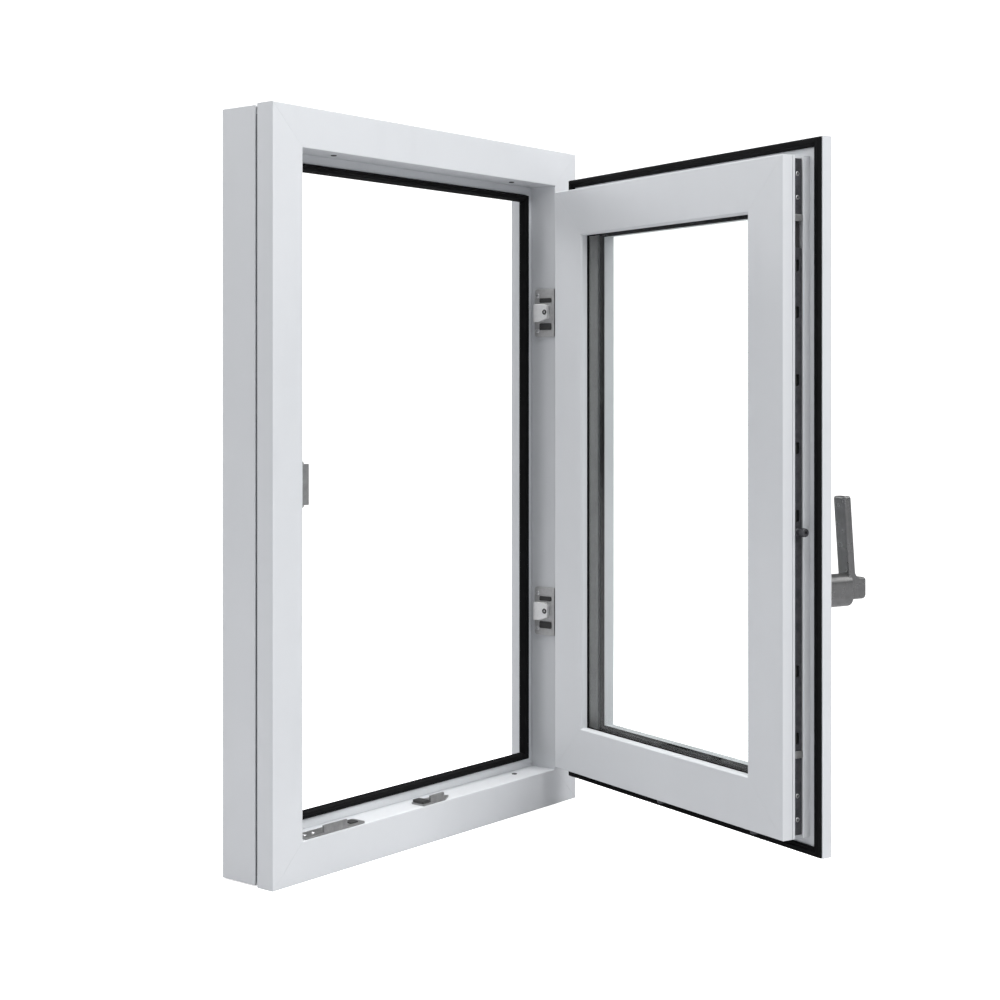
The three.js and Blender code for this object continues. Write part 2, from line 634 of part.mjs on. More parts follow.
function addLock(sash, handle, stileRod, bottomRod) {
  addRods(stileRod, bottomRod);
  addMesh(sash, 'corner_drive_bottom', cornerDrive(false), 'cast');
  addMesh(sash, 'corner_drive_top', cornerDrive(true), 'cast');
  addMesh(sash, 'gearbox', gearbox(), 'cast');
  addMesh(sash, 'handle_rosette', rosette(), 'handle');
  addMesh(handle, 'handle_lever', lever(), 'handle');
  addMesh(handle, 'handle_spindle', squareBar(SPINDLE_HALF, SPINDLE_START, SPINDLE_END), 'zinc');
}

// ---- assembly -------------------------------------------------------------------------------

const casementWindow = new THREE.Group();
casementWindow.position.y = -SEAT_CENTRE;

const frame = new THREE.Group();
const swing = new THREE.Group();
swing.position.set(HINGE_X, HINGE_Y, 0);
swing.rotation.z = OPEN_ANGLE;
casementWindow.add(frame, swing);

/** A group whose contents are drawn where they stand with the sash shut. */
function shutGroup() {
  const group = new THREE.Group();
  group.position.set(-HINGE_X, -HINGE_Y, 0);
  swing.add(group);
  return group;
}

const sash = shutGroup();
const handle = shutGroup();
const stileRod = shutGroup();
const bottomRod = shutGroup();

addFrameRails(frame);
addCentreGasket(frame);
addCornerCleats(frame);
addKeeps(frame);
addHinges(frame, sash);
addSashRails(sash);
addOverlapGasket(sash);
addGlazing(sash);
addLock(sash, handle, stileRod, bottomRod);

export default casementWindow;
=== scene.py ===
"""Looks of the casement window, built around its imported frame.

Pieces are drawn in millimetres with the sash shut: x to the right as seen from the room, v the
depth behind the frame's room face, z up. A rail's section uses u, the distance in from the frame's
outer edge, instead of x or z. Sash pieces are then turned about the hinge line to where it is open.
"""
import json
import math

import bpy
import numpy as np
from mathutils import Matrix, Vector
from mathutils.geometry import tessellate_polygon

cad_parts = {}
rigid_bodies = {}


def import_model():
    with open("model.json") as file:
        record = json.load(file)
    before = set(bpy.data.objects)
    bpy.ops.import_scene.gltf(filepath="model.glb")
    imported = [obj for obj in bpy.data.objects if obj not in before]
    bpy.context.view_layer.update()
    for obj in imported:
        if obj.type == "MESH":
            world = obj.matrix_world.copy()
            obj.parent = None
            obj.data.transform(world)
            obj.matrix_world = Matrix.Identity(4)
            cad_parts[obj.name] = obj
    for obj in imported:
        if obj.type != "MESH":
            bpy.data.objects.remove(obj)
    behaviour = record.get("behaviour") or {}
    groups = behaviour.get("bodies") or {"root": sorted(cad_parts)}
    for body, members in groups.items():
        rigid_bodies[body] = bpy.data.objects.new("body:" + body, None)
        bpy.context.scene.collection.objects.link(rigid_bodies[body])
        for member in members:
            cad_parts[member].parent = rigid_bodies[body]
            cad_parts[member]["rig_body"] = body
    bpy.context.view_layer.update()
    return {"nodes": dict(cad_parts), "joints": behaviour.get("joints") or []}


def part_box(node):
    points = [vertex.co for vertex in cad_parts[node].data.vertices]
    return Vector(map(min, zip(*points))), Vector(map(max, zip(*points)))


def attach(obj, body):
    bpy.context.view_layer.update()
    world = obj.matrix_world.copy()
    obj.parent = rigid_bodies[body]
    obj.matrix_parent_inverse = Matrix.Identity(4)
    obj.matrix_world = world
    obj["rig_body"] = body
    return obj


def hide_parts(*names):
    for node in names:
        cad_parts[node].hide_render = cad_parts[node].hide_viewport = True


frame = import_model()

# ---- the frame's own dimensions ----------------------------------------------------------------

MM = 0.001
HINGE = next(joint for joint in frame["joints"] if joint["name"] == "sash_hinge")
LEVER = next(joint for joint in frame["joints"] if joint["name"] == "lever_turn")
OPEN_ANGLE = -math.radians(HINGE["range_deg"][0])
ROOM_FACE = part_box("frame_sill_room_half")[0].y / MM
WIDTH = (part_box("frame_hinge_jamb_room_half")[1].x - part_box("frame_lock_jamb_room_half")[0].x) / MM
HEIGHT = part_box("frame_head_room_half")[1].z / MM
DEPTH = (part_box("frame_sill_outdoor_half")[1].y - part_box("frame_sill_room_half")[0].y) / MM
HINGE_X = HINGE["pos_m"][0] / MM
HINGE_V = HINGE["pos_m"][1] / MM - ROOM_FACE
SPINDLE_Z = LEVER["pos_m"][2] / MM
LOCK_EDGE = -WIDTH / 2
HINGE_EDGE = WIDTH / 2

# ---- camera ------------------------------------------------------------------------------------

CAMERA_TURN = 51.5  # degrees to the right of straight out through the window
camera_data = bpy.data.cameras.new("camera")
camera_data.sensor_width = 36
camera_data.lens = 62.83
camera_data.shift_y = -0.1112
camera = bpy.data.objects.new("camera", camera_data)
camera.location = (-1.685, -1.4506, 0.5723)
camera.rotation_euler = (math.radians(90), 0, -math.radians(CAMERA_TURN))
bpy.context.scene.collection.objects.link(camera)
bpy.context.scene.camera = camera

# ---- surfaces worked out as arrays -------------------------------------------------------------


class Shell:
    """Closed shells of one piece: points in millimetres, and faces as arrays of one width each."""

    def __init__(self):
        self.points = np.zeros((0, 3))
        self.faces = []

    def add(self, points, *faces):
        """Add one closed shell; its faces are turned over if its signed volume is negative."""
        points = np.asarray(points, float)
        volume = 0.0
        for group in faces:
            corners = points[group]
            fans = np.cross(corners[:, 1:-1], corners[:, 2:])
            volume += np.einsum("ijk,ik->", fans, corners[:, 0])
        start = len(self.points)
        self.points = np.vstack([self.points, points])
        for group in faces:
            self.faces.append((group if volume > 0 else group[:, ::-1]) + start)
        return self


def quarter_turn(count):
    """Angles from nought to a right angle in equal steps, both ends kept."""
    return np.linspace(0, math.pi / 2, count)


def rounded(points, radius=0.5, steps=3):
    """An outline with each corner replaced by an arc tangent to both its sides. The centre lies on
    the bisector, at the radius over the sine of half the corner's angle, and the arc mixes the two
    radii to the tangent points by the sines of their shares of the sweep."""
    corners = np.asarray(points, float)
    radii = np.broadcast_to(np.asarray(radius, float), len(corners)).copy()
    back = np.roll(corners, 1, 0) - corners
    ahead = np.roll(corners, -1, 0) - corners
    lengths = np.minimum(np.linalg.norm(back, axis=1), np.linalg.norm(ahead, axis=1))
    back /= np.linalg.norm(back, axis=1)[:, None]
    ahead /= np.linalg.norm(ahead, axis=1)[:, None]
    half = np.arccos(np.clip((back * ahead).sum(1), -0.9999, 0.9999)) / 2
    radii = np.minimum(np.maximum(radii, 0.02), 0.45 * lengths * np.tan(half))
    tangent = radii / np.tan(half)
    bisector = back + ahead
    bisector /= np.linalg.norm(bisector, axis=1)[:, None]
    centre = corners + bisector * (radii / np.sin(half))[:, None]
    first = corners + back * tangent[:, None] - centre
    last = corners + ahead * tangent[:, None] - centre
    sweep = (math.pi - 2 * half)[:, None, None]
    share = np.linspace(0, 1, steps + 1)[None, :, None]
    arcs = (np.sin((1 - share) * sweep) * first[:, None]
            + np.sin(share * sweep) * last[:, None]) / np.sin(sweep)
    return (centre[:, None] + arcs).reshape(-1, 2)


def circle(x, y, radius, count=16):
    """Points round a circle, in even steps."""
    angle = np.arange(count) * (2 * math.pi / count)
    return np.stack([x + radius * np.cos(angle), y + radius * np.sin(angle)], 1)


def box_outline(x0, x1, y0, y1):
    """The four corners of a rectangle, counter-clockwise."""
    return [[x0, y0], [x1, y0], [x1, y1], [x0, y1]]


def oblong(x, y, length, width, along_x=False, steps=6):
    """A slot outline: a rectangle whose short ends are half circles."""
    half_long, half_short = (length / 2, width / 2) if along_x else (width / 2, length / 2)
    return rounded(box_outline(x - half_long, x + half_long, y - half_short, y + half_short),
                   0.499 * width, steps)


def counter_clockwise(outline, wanted=True):
    """The outline, reversed where its signed area doesn't have the wanted sign."""
    x, y = outline[:, 0], outline[:, 1]
    area = (x * np.roll(y, -1) - y * np.roll(x, -1)).sum()
    return outline if (area > 0) == wanted else outline[::-1]


def inset(outline, distance):
    """Each point moved to the left of the way round, square to both its sides."""
    side = np.roll(outline, -1, 0) - outline
    side /= np.maximum(np.linalg.norm(side, axis=1), 1e-9)[:, None]
    left = np.stack([-side[:, 1], side[:, 0]], 1)
    before = np.roll(left, 1, 0)
    spread = 1 + (left * before).sum(1)
    return outline + (left + before) * (distance / np.maximum(spread, 0.4))[:, None]


def bands(rows, size, stride=None, start=0, closed=False):
    """Quads that join each row of points to the next, and the last row to the first if closed. A
    row is a loop of size points; rows lie stride points apart, and the first begins at start."""
    stride = stride or size
    here = start + np.arange(size)
    ahead = start + (np.arange(size) + 1) % size
    below = np.arange(rows if closed else rows - 1)[:, None] * stride
    above = (below + stride) % (rows * stride)
    return np.stack([here + below, ahead + below, ahead + above, here + above], 2).reshape(-1, 4)


def loft(shell, outlines, stations):
    """Outlines, the first outside and the rest holes, carried through stations and capped.

    A station is a pair: how far in the outlines are drawn there, and a function from section points
    to points in space. The caps are triangles of the first and last station's outlines.
    """
    loops = [counter_clockwise(np.asarray(outline, float), index == 0)
             for index, outline in enumerate(outlines)]
    sizes = [len(loop) for loop in loops]
    total = sum(sizes)
    rows = [place(np.vstack([inset(loop, depth) for loop in loops])) for depth, place in stations]
    starts = np.cumsum([0] + sizes[:-1])
    quads = [bands(len(rows), size, total, start) for size, start in zip(sizes, starts)]
    flat = [inset(loop, stations[0][0]) for loop in loops]
    cap = np.array(tessellate_polygon([[Vector((x, y, 0)) for x, y in loop] for loop in flat]))
    flat = np.vstack(flat)
    ab, ac = flat[cap[:, 1]] - flat[cap[:, 0]], flat[cap[:, 2]] - flat[cap[:, 0]]
    turned = (ab[:, 0] * ac[:, 1] - ab[:, 1] * ac[:, 0]) < 0
    cap[turned] = cap[turned][:, ::-1]
    far = cap + total * (len(rows) - 1)
    return shell.add(np.vstack(rows), np.vstack(quads), cap[:, ::-1], far)


def along(axis, depth):
    """A map from outline points to space at one depth along an axis; the outline keeps the order
    x, v, z of the two others."""
    def place(points):
        return np.insert(points, axis, depth, axis=1)
    return place


def slab(shell, outlines, axis, low, high, rim=0.3, steps=3):
    """A plate of the outlines between two depths along an axis. Its rims are quarter rounds: as the
    angle turns, the outline comes out by the sine and the depth by one less the cosine."""
    turn = quarter_turn(steps)
    shrink = rim * (1 - np.sin(turn))
    lift = rim * (1 - np.cos(turn))
    stations = [(s, along(axis, low + h)) for s, h in zip(shrink, lift)]
    stations += [(s, along(axis, high - h)) for s, h in zip(shrink[::-1], lift[::-1])]
    return loft(shell, outlines, stations)


AXES = {"x": (0, 1, 2), "y": (1, 2, 0), "z": (2, 0, 1)}


def revolve(shell, profile, centre, axis="z", count=32, lobes=None):
    """A profile of radius and height turned about an axis. Where the first and last radius are
    nought it closes at two poles, and otherwise it closes on itself as a ring. lobes gives each
    profile point the depth of six waves round the turn, for a driven recess."""
    profile = np.asarray(profile, float)
    main, second, third = AXES[axis]
    angle = np.arange(count) * (2 * math.pi / count)
    waves = np.zeros(len(profile)) if lobes is None else np.asarray(lobes, float)
    radius = profile[:, :1] * (1 + waves[:, None] * np.cos(6 * angle)[None])
    grid = np.zeros((len(profile), count, 3))
    grid[..., main] = profile[:, 1:]
    grid[..., second] = radius * np.cos(angle)
    grid[..., third] = radius * np.sin(angle)
    grid += np.asarray(centre, float)
    if profile[0, 0] > 0:
        return shell.add(grid.reshape(-1, 3), bands(len(profile), count, closed=True))
    body = grid[1:-1].reshape(-1, 3)
    points = np.vstack([body, grid[0, :1], grid[-1, :1]])
    here, ahead = np.arange(count), (np.arange(count) + 1) % count
    last = len(body) - count
    first_fan = np.stack([ahead, here, np.full(count, len(body))], 1)
    last_fan = np.stack([here + last, ahead + last, np.full(count, len(body) + 1)], 1)
    return shell.add(points, bands(len(profile) - 2, count), first_fan, last_fan)


def ring_round_window(shell, outline):
    """A section carried round the four sides of the window and closed on itself: at each corner a
    point lies u in from both outer edges."""
    section = counter_clockwise(np.asarray(outline, float))
    u, v = section[:, 0], section[:, 1]
    corners = [(-1, 1), (1, 1), (1, -1), (-1, -1)]
    points = np.vstack([
        np.stack([sx * (WIDTH / 2 - u), v, HEIGHT / 2 + sz * (HEIGHT / 2 - u)], 1)
        for sx, sz in corners])
    return shell.add(points, bands(len(corners), len(section), closed=True))


MITRE_GAP = 0.2
SIDES = {
    "bottom": (WIDTH, lambda a, u, v: np.stack([a, v, u], 1)),
    "hinge": (HEIGHT, lambda a, u, v: np.stack([HINGE_EDGE - u, v, HEIGHT / 2 + a], 1)),
    "top": (WIDTH, lambda a, u, v: np.stack([-a, v, HEIGHT - u], 1)),
    "lock": (HEIGHT, lambda a, u, v: np.stack([LOCK_EDGE + u, v, HEIGHT / 2 - a], 1)),
}


def mitred_rail(shell, outlines, side):
    """A section in u and v carried along one side of the window and mitred: each point stops short
    of the side's ends by its own u."""
    length, place = SIDES[side]

    def station(end):
        def at(points):
            u, v = points[:, 0], points[:, 1]
            return place(end * (length / 2 - u - MITRE_GAP / 2), u, v)
        return at
    return loft(shell, outlines, [(0, station(-1)), (0, station(1))])


def to_world(points, on_sash):
    """Millimetres drawn shut to metres in the frame's own axes; sash points are turned about the
    hinge line by the open angle."""
    points = np.array(points, float)
    if on_sash:
        x, v = points[:, 0] - HINGE_X, points[:, 1] - HINGE_V
        c, s = math.cos(OPEN_ANGLE), math.sin(OPEN_ANGLE)
        points[:, 0] = HINGE_X + x * c - v * s
        points[:, 1] = HINGE_V + x * s + v * c
    points[:, 1] += ROOM_FACE
    return points * MM


CREASE = 32  # degrees between two faces past which their edge stays sharp


def to_mesh(name, shell, on_sash):
    """The shell's points and faces as a mesh in metres."""
    mesh = bpy.data.meshes.new(name)
    faces = [face for group in shell.faces for face in group.tolist()]
    mesh.from_pydata(to_world(shell.points, on_sash).tolist(), [], faces)
    return mesh


def shade_evenly(piece, crease):
    """Smooth shading, broken at the creases, with flat faces weighing more than their rims."""
    mesh = piece.data
    mesh.polygons.foreach_set("use_smooth", np.ones(len(mesh.polygons), bool))
    mesh.set_sharp_from_angle(angle=math.radians(crease))
    weigh = piece.modifiers.new("even_shading", "WEIGHTED_NORMAL")
    weigh.keep_sharp = True


def build(name, shell, body, material, replaces=(), crease=CREASE):
    """Make the piece, let it ride on its body, and hide the parts it stands for."""
    mesh = to_mesh(name, shell, body != "frame")
    mesh.validate()
    mesh.materials.append(material)
    piece = bpy.data.objects.new(name, mesh)
    bpy.context.scene.collection.objects.link(piece)
    shade_evenly(piece, crease)
    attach(piece, body)
    if replaces:
        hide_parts(*replaces)
    return piece


def pierce(piece, cutter):
    """Take the cutter's shells out of a finished piece, so that a bore or a slot is a real one."""
    tool = bpy.data.objects.new("cutter", to_mesh("cutter", cutter, piece["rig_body"] != "frame"))
    bpy.context.scene.collection.objects.link(tool)
    piece.modifiers.clear()
    cut = piece.modifiers.new("cut", "BOOLEAN")
    cut.operation, cut.solver, cut.object = "DIFFERENCE", "EXACT", tool
    bpy.context.view_layer.update()
    result = bpy.data.meshes.new_from_object(
        piece.evaluated_get(bpy.context.evaluated_depsgraph_get()))
    piece.modifiers.clear()
    solid = piece.data
    name = solid.name
    piece.data = result
    bpy.data.meshes.remove(solid)
    bpy.data.objects.remove(tool)
    result.name = name
    shade_evenly(piece, CREASE)


def refinish(finish, *nodes):
    """Give the part's own pieces another material; their meshes stay as they are."""
    for node in nodes:
        materials = frame["nodes"][node].data.materials
        materials.clear()
        materials.append(finish)


# ---- materials ---------------------------------------------------------------------------------


class Wire:
    """A socket that arithmetic can be written on; each operation adds one Math node."""

    def __init__(self, finish, socket):
        self.finish, self.socket = finish, socket

    def math(self, operation, *values):
        return self.finish.node("Math", dict(enumerate(values)), operation=operation)

    def __add__(self, other): return self.math("ADD", self, other)
    def __radd__(self, other): return self.math("ADD", other, self)
    def __sub__(self, other): return self.math("SUBTRACT", self, other)
    def __rsub__(self, other): return self.math("SUBTRACT", other, self)
    def __mul__(self, other): return self.math("MULTIPLY", self, other)
    def __rmul__(self, other): return self.math("MULTIPLY", other, self)
    def __pow__(self, other): return self.math("POWER", self, other)


class Finish:
    """A node material, with one method that adds any node."""

    def __init__(self, name):
        self.material = bpy.data.materials.new(name)
        self.material.use_nodes = True
        self.tree = self.material.node_tree
        self.tree.nodes.clear()
        self.output = self.tree.nodes.new("ShaderNodeOutputMaterial")

    def node(self, kind, inputs=None, output=0, **settings):
        """Add a node, its settings first, then the values or links of its sockets."""
        node = self.tree.nodes.new("ShaderNode" + kind)
        for name, value in settings.items():
            setattr(node, name, value)
        for name, value in (inputs or {}).items():
            if isinstance(value, Wire):
                self.tree.links.new(value.socket, node.inputs[name])
            else:
                node.inputs[name].default_value = value
        return Wire(self, node.outputs[output])

    def object_point(self, scale=(1, 1, 1)):
        """The point on the piece in metres, stretched by scale."""
        place = self.node("TexCoord", output="Object")
        return self.node("Mapping", {"Vector": place, "Scale": scale})

    def noise(self, size, detail=2.0, roughness=0.5, stretch=(1, 1, 1)):
        """Even noise from 0 to 1 whose lumps are about size metres across."""
        return self.node("TexNoise", {"Vector": self.object_point(stretch), "Scale": 1 / size,
                                      "Detail": detail, "Roughness": roughness})

    def ramp(self, value, low, high):
        """A value stretched so that low goes to 0 and high to 1, held at both ends."""
        return self.node("MapRange", {"Value": value, "From Min": low, "From Max": high})

    def blend(self, factor, first, second):
        """Two colours mixed by a factor."""
        return self.node("Mix", {"Factor": factor, 6: first, 7: second}, output=2,
                         data_type="RGBA")

    def bump(self, height, distance, strength=1.0):
        return self.node("Bump", {"Height": height, "Distance": distance, "Strength": strength})

    def surface(self, shader):
        """Make the shader the material's surface."""
        self.tree.links.new(shader.socket, self.output.inputs["Surface"])
        return self.material

    def principled(self, **inputs):
        """The finished surface; names are the shader's sockets with _ for a space."""
        return self.surface(
            self.node("BsdfPrincipled", {k.replace("_", " "): v for k, v in inputs.items()}))


def grey(level, blue=0.0):
    """A grey, with a little added to its blue where the metal is cold."""
    return (level, level, level + blue, 1)


def coated_aluminium(name, colour, darker):
    """Satin powder coat: fine orange peel, faint cloudy gloss, a few handling marks."""
    finish = Finish(name)
    cloud = finish.noise(0.16, 3, 0.55)
    smear = finish.ramp(finish.noise(0.035, 4, 0.6, (1, 1, 0.25)), 0.56, 0.74)
    peel = finish.noise(0.0016, 2, 0.5)
    grain = finish.noise(0.0004, 1, 0.5)
    scuff = finish.ramp(finish.noise(0.006, 5, 0.75, (1, 1, 0.12)), 0.69, 0.76)
    tone = finish.ramp(cloud, 0.3, 0.7) * 0.55 + smear * 0.25 + scuff * 0.2
    base = finish.blend(tone, colour, darker)
    return finish.principled(
        Base_Color=base,
        Metallic=0.12,
        Roughness=0.4 + finish.ramp(cloud, 0.3, 0.7) * 0.06 - smear * 0.07 + scuff * 0.08,
        Coat_Weight=0.12,
        Coat_Roughness=0.22,
        Normal=finish.bump(peel * 0.75 + grain * 0.25, 0.00006, 0.6),
    )


def rubber(name):
    """Extruded EPDM: black, satin, with fine draw lines, bloom and settled dust."""
    finish = Finish(name)
    dust = finish.ramp(finish.noise(0.02, 5, 0.65), 0.5, 0.75)
    bloom = finish.noise(0.05, 3, 0.6)
    skin = finish.noise(0.0007, 3, 0.6)
    base = finish.blend(dust * 0.4, (0.003, 0.003, 0.0035, 1), (0.014, 0.014, 0.015, 1))
    return finish.principled(
        Base_Color=base,
        Roughness=0.55 + bloom * 0.2 + dust * 0.1,
        Specular_IOR_Level=0.1,
        Normal=finish.bump(skin, 0.00008, 0.7),
    )


def moulded(name, colour, speck, roughness=0.55):
    """Glass-filled plastic: matt, with short pale fibres at the surface."""
    finish = Finish(name)
    fibre = finish.ramp(finish.noise(0.0009, 3, 0.7, (1, 1, 0.3)), 0.6, 0.75)
    broad = finish.noise(0.03, 3, 0.6)
    return finish.principled(
        Base_Color=finish.blend(fibre * 0.6, colour, speck),
        Roughness=roughness + broad * 0.15,
        Normal=finish.bump(finish.noise(0.0006, 2, 0.5), 0.00006, 0.6),
    )


def plated(name, light, dark, roughness, spangle=0.004, metallic=0.9):
    """Zinc-plated steel: soft spangle, dull rubbed patches, fine scratches along the work."""
    finish = Finish(name)
    patch = finish.noise(spangle, 3, 0.6)
    cloud = finish.ramp(finish.noise(0.02, 4, 0.6), 0.35, 0.65)
    scratch = finish.ramp(finish.noise(0.0012, 2, 0.5, (1, 1, 0.06)), 0.62, 0.72)
    tone = finish.ramp(patch, 0.35, 0.65) * 0.4 + cloud * 0.4 + scratch * 0.2
    return finish.principled(
        Base_Color=finish.blend(tone, light, dark),
        Metallic=metallic,
        Roughness=roughness + patch * 0.12 + scratch * 0.1,
        Normal=finish.bump(patch * 0.4 + scratch * 0.6, 0.00005, 0.5),
    )


def satin_metal(name, light, dark, roughness):
    """Satin handle metal: fine brushing along the blade, dulled where hands wear it."""
    finish = Finish(name)
    brush = finish.noise(0.0009, 3, 0.6, (1, 1, 0.03))
    worn = finish.ramp(finish.noise(0.018, 4, 0.6), 0.42, 0.62)
    tone = finish.ramp(brush, 0.3, 0.7) * 0.45 + worn * 0.4
    return finish.principled(
        Base_Color=finish.blend(tone, light, dark),
        Metallic=0.8,
        Roughness=roughness + worn * 0.08 + brush * 0.06,
        Normal=finish.bump(brush, 0.00004, 0.5),
    )


def clear_glass(name):
    """Float glass: light goes straight through, and the mirror grows with the angle, as the fifth
    power of how edge-on it is; a faint haze of dust is added."""
    finish = Finish(name)
    haze = finish.ramp(finish.noise(0.12, 4, 0.6), 0.45, 0.8) * 0.006
    edge_on = finish.node("LayerWeight", {"Blend": 0.5}, output="Facing")
    mirror = edge_on ** 5 * 0.96 + 0.035 + haze
    through = finish.node("BsdfTransparent", {"Color": (0.985, 0.993, 0.99, 1)})
    shine = finish.node("BsdfGlossy", {"Color": (1, 1, 1, 1), "Roughness": 0.02})
    return finish.surface(finish.node("MixShader", {0: mirror, 1: through, 2: shine}))


COAT = coated_aluminium("silver_white_coat", (0.70, 0.715, 0.735, 1), (0.655, 0.67, 0.692, 1))
EPDM = rubber("black_epdm")
POLYAMIDE = moulded("black_polyamide", grey(0.022), grey(0.07))
NYLON = moulded("grey_nylon", grey(0.05), grey(0.1), 0.45)
DARK_NYLON = moulded("dark_nylon_and_shade_pads", grey(0.03), grey(0.06), 0.4)
CAST = plated("bright_cast_zinc", grey(0.92), grey(0.78), 0.34, metallic=0.35)
PALE = plated("pale_zinc_plate", grey(0.56), grey(0.44), 0.4, metallic=0.45)
BRIGHT = plated("bright_zinc_plate", grey(0.80, blue=0.01), grey(0.60, blue=0.01), 0.24)
DULL = plated("dull_zinc_plate", grey(0.42), grey(0.27), 0.38, 0.007)
DARK_STEEL = plated("blackened_screw_steel", grey(0.10), grey(0.05), 0.4)
ROD_STEEL = plated("drive_rod_steel", grey(0.13, blue=0.01), grey(0.07, blue=0.006), 0.42, 0.01)
SPACER = plated("mill_aluminium", grey(0.34), grey(0.26), 0.45, 0.002)
HANDLE = satin_metal("satin_grey_metal", grey(0.24), grey(0.17), 0.24)
GLASS = clear_glass("clear_float_glass")

# ---- frame rails -------------------------------------------------------------------------------

WALL = 2.2
FACE = 48.0  # how wide the frame's room face is
ROOM_TUBE = 26.0  # how deep its room half is
RIB_FRONT, RIB_BACK, RIB_TOP = 41.0, 47.0, 59.0
STEP, SHADOW_LINE = 1.5, 5.0
JOINT_GAP = 0.3
FRAME_NAMES = {"bottom": "sill", "hinge": "hinge_jamb", "top": "head", "lock": "lock_jamb"}
SASH_NAMES = {"bottom": "bottom_rail", "hinge": "hinge_stile", "top": "top_rail",
              "lock": "lock_stile"}


def chamber(u0, u1, v0, v1):
    """The hollow of a box section, one wall thickness in from each side."""
    return rounded(box_outline(u0 + WALL, u1 - WALL, v0 + WALL, v1 - WALL), 1.0, 2)


def rails(names, prefix, suffix, outlines, body, label):
    """The four mitred rails of one section, each for its own node, by side."""
    made = {}
    for side, rail in names.items():
        shell = mitred_rail(Shell(), outlines, side)
        made[side] = build(f"{label}_{rail}", shell, body, COAT, [f"{prefix}{rail}{suffix}"])
    return made


FLANGE = 3.2
THERMAL_BACK = ROOM_TUBE + 16.5
COVER = STEP + 2.5
BREAK_EDGE = FACE - 7
SLOPE_TOP, WATER_EDGE = FACE - 3, 36.0
room_section = [
    rounded([[0, 0], [FACE, 0], [FACE, RIB_FRONT - JOINT_GAP],
             [FACE - FLANGE, RIB_FRONT - JOINT_GAP], [FACE - FLANGE, ROOM_TUBE], [0, ROOM_TUBE]],
            [0.9, 1.1, 0.5, 0.3, 0.3, 0.5]),
    chamber(0, FACE, 0, ROOM_TUBE),
]
outdoor_section = [
    rounded([[STEP, ROOM_TUBE + SHADOW_LINE], [STEP, DEPTH], [WATER_EDGE, DEPTH],
             [SLOPE_TOP, RIB_BACK + 5], [SLOPE_TOP, RIB_BACK], [RIB_TOP, RIB_BACK],
             [RIB_TOP, RIB_FRONT], [BREAK_EDGE, RIB_FRONT], [BREAK_EDGE, THERMAL_BACK],
             [COVER, THERMAL_BACK], [COVER, ROOM_TUBE + SHADOW_LINE]],
            [0.5, 0.9, 1.2, 1.5, 0.6, 0.6, 0.8, 0.3, 0.3, 0.3, 0.3]),
    rounded([[COVER, THERMAL_BACK + WALL], [SLOPE_TOP - WALL, THERMAL_BACK + WALL],
             [SLOPE_TOP - WALL, RIB_BACK + 4.5], [WATER_EDGE - 2, DEPTH - WALL],
             [COVER, DEPTH - WALL]], 0.8, 2),
]
rails(FRAME_NAMES, "frame_", "_room_half", room_section, "frame",
      "room_profile")
frame_out = rails(FRAME_NAMES, "frame_", "_outdoor_half", outdoor_section, "frame",
                  "outdoor_profile")

# drain slots through the sill's cover and its outdoor wall
DRAIN_SPOTS = (-150.0, 150.0)
DRAIN_RISE, DRAIN_LENGTH, DRAIN_WIDTH = 9.0, 26, 5
drains = Shell()
for x in DRAIN_SPOTS:
    slab(drains, [oblong(x, DRAIN_RISE, DRAIN_LENGTH, DRAIN_WIDTH, True)], 1, DEPTH - 6, DEPTH + 2,
         0.01, 2)
pierce(frame_out["bottom"], drains)
refinish(POLYAMIDE, *(f"frame_{name}_thermal_break" for name in FRAME_NAMES.values()))


def gasket(name, node, outline, body, radius=0.6):
    """A gasket ring with its section's corners rounded as they leave the die."""
    shell = ring_round_window(Shell(), rounded(outline, radius, 3))
    return build(name, shell, body, EPDM, [node], crease=50)


foot = RIB_TOP + JOINT_GAP
gasket("centre_seal", "frame_centre_gasket", [
    [foot, RIB_FRONT + 0.5], [foot, RIB_BACK - 0.5], [foot + 1.2, RIB_BACK + 0.2],
    [foot + 2.2, RIB_BACK + 1.4], [foot + 4.6, RIB_BACK + 1.2], [68.5, RIB_BACK - 0.2],
    [69.5, RIB_BACK - 3], [68.4, 41.2], [67, 38], [64.2, 35.7], [61.5, 35.2], [60.2, 36.8],
    [60.8, 38.4], [60.2, 39.8]], "frame")

# ---- sash rails --------------------------------------------------------------------------------

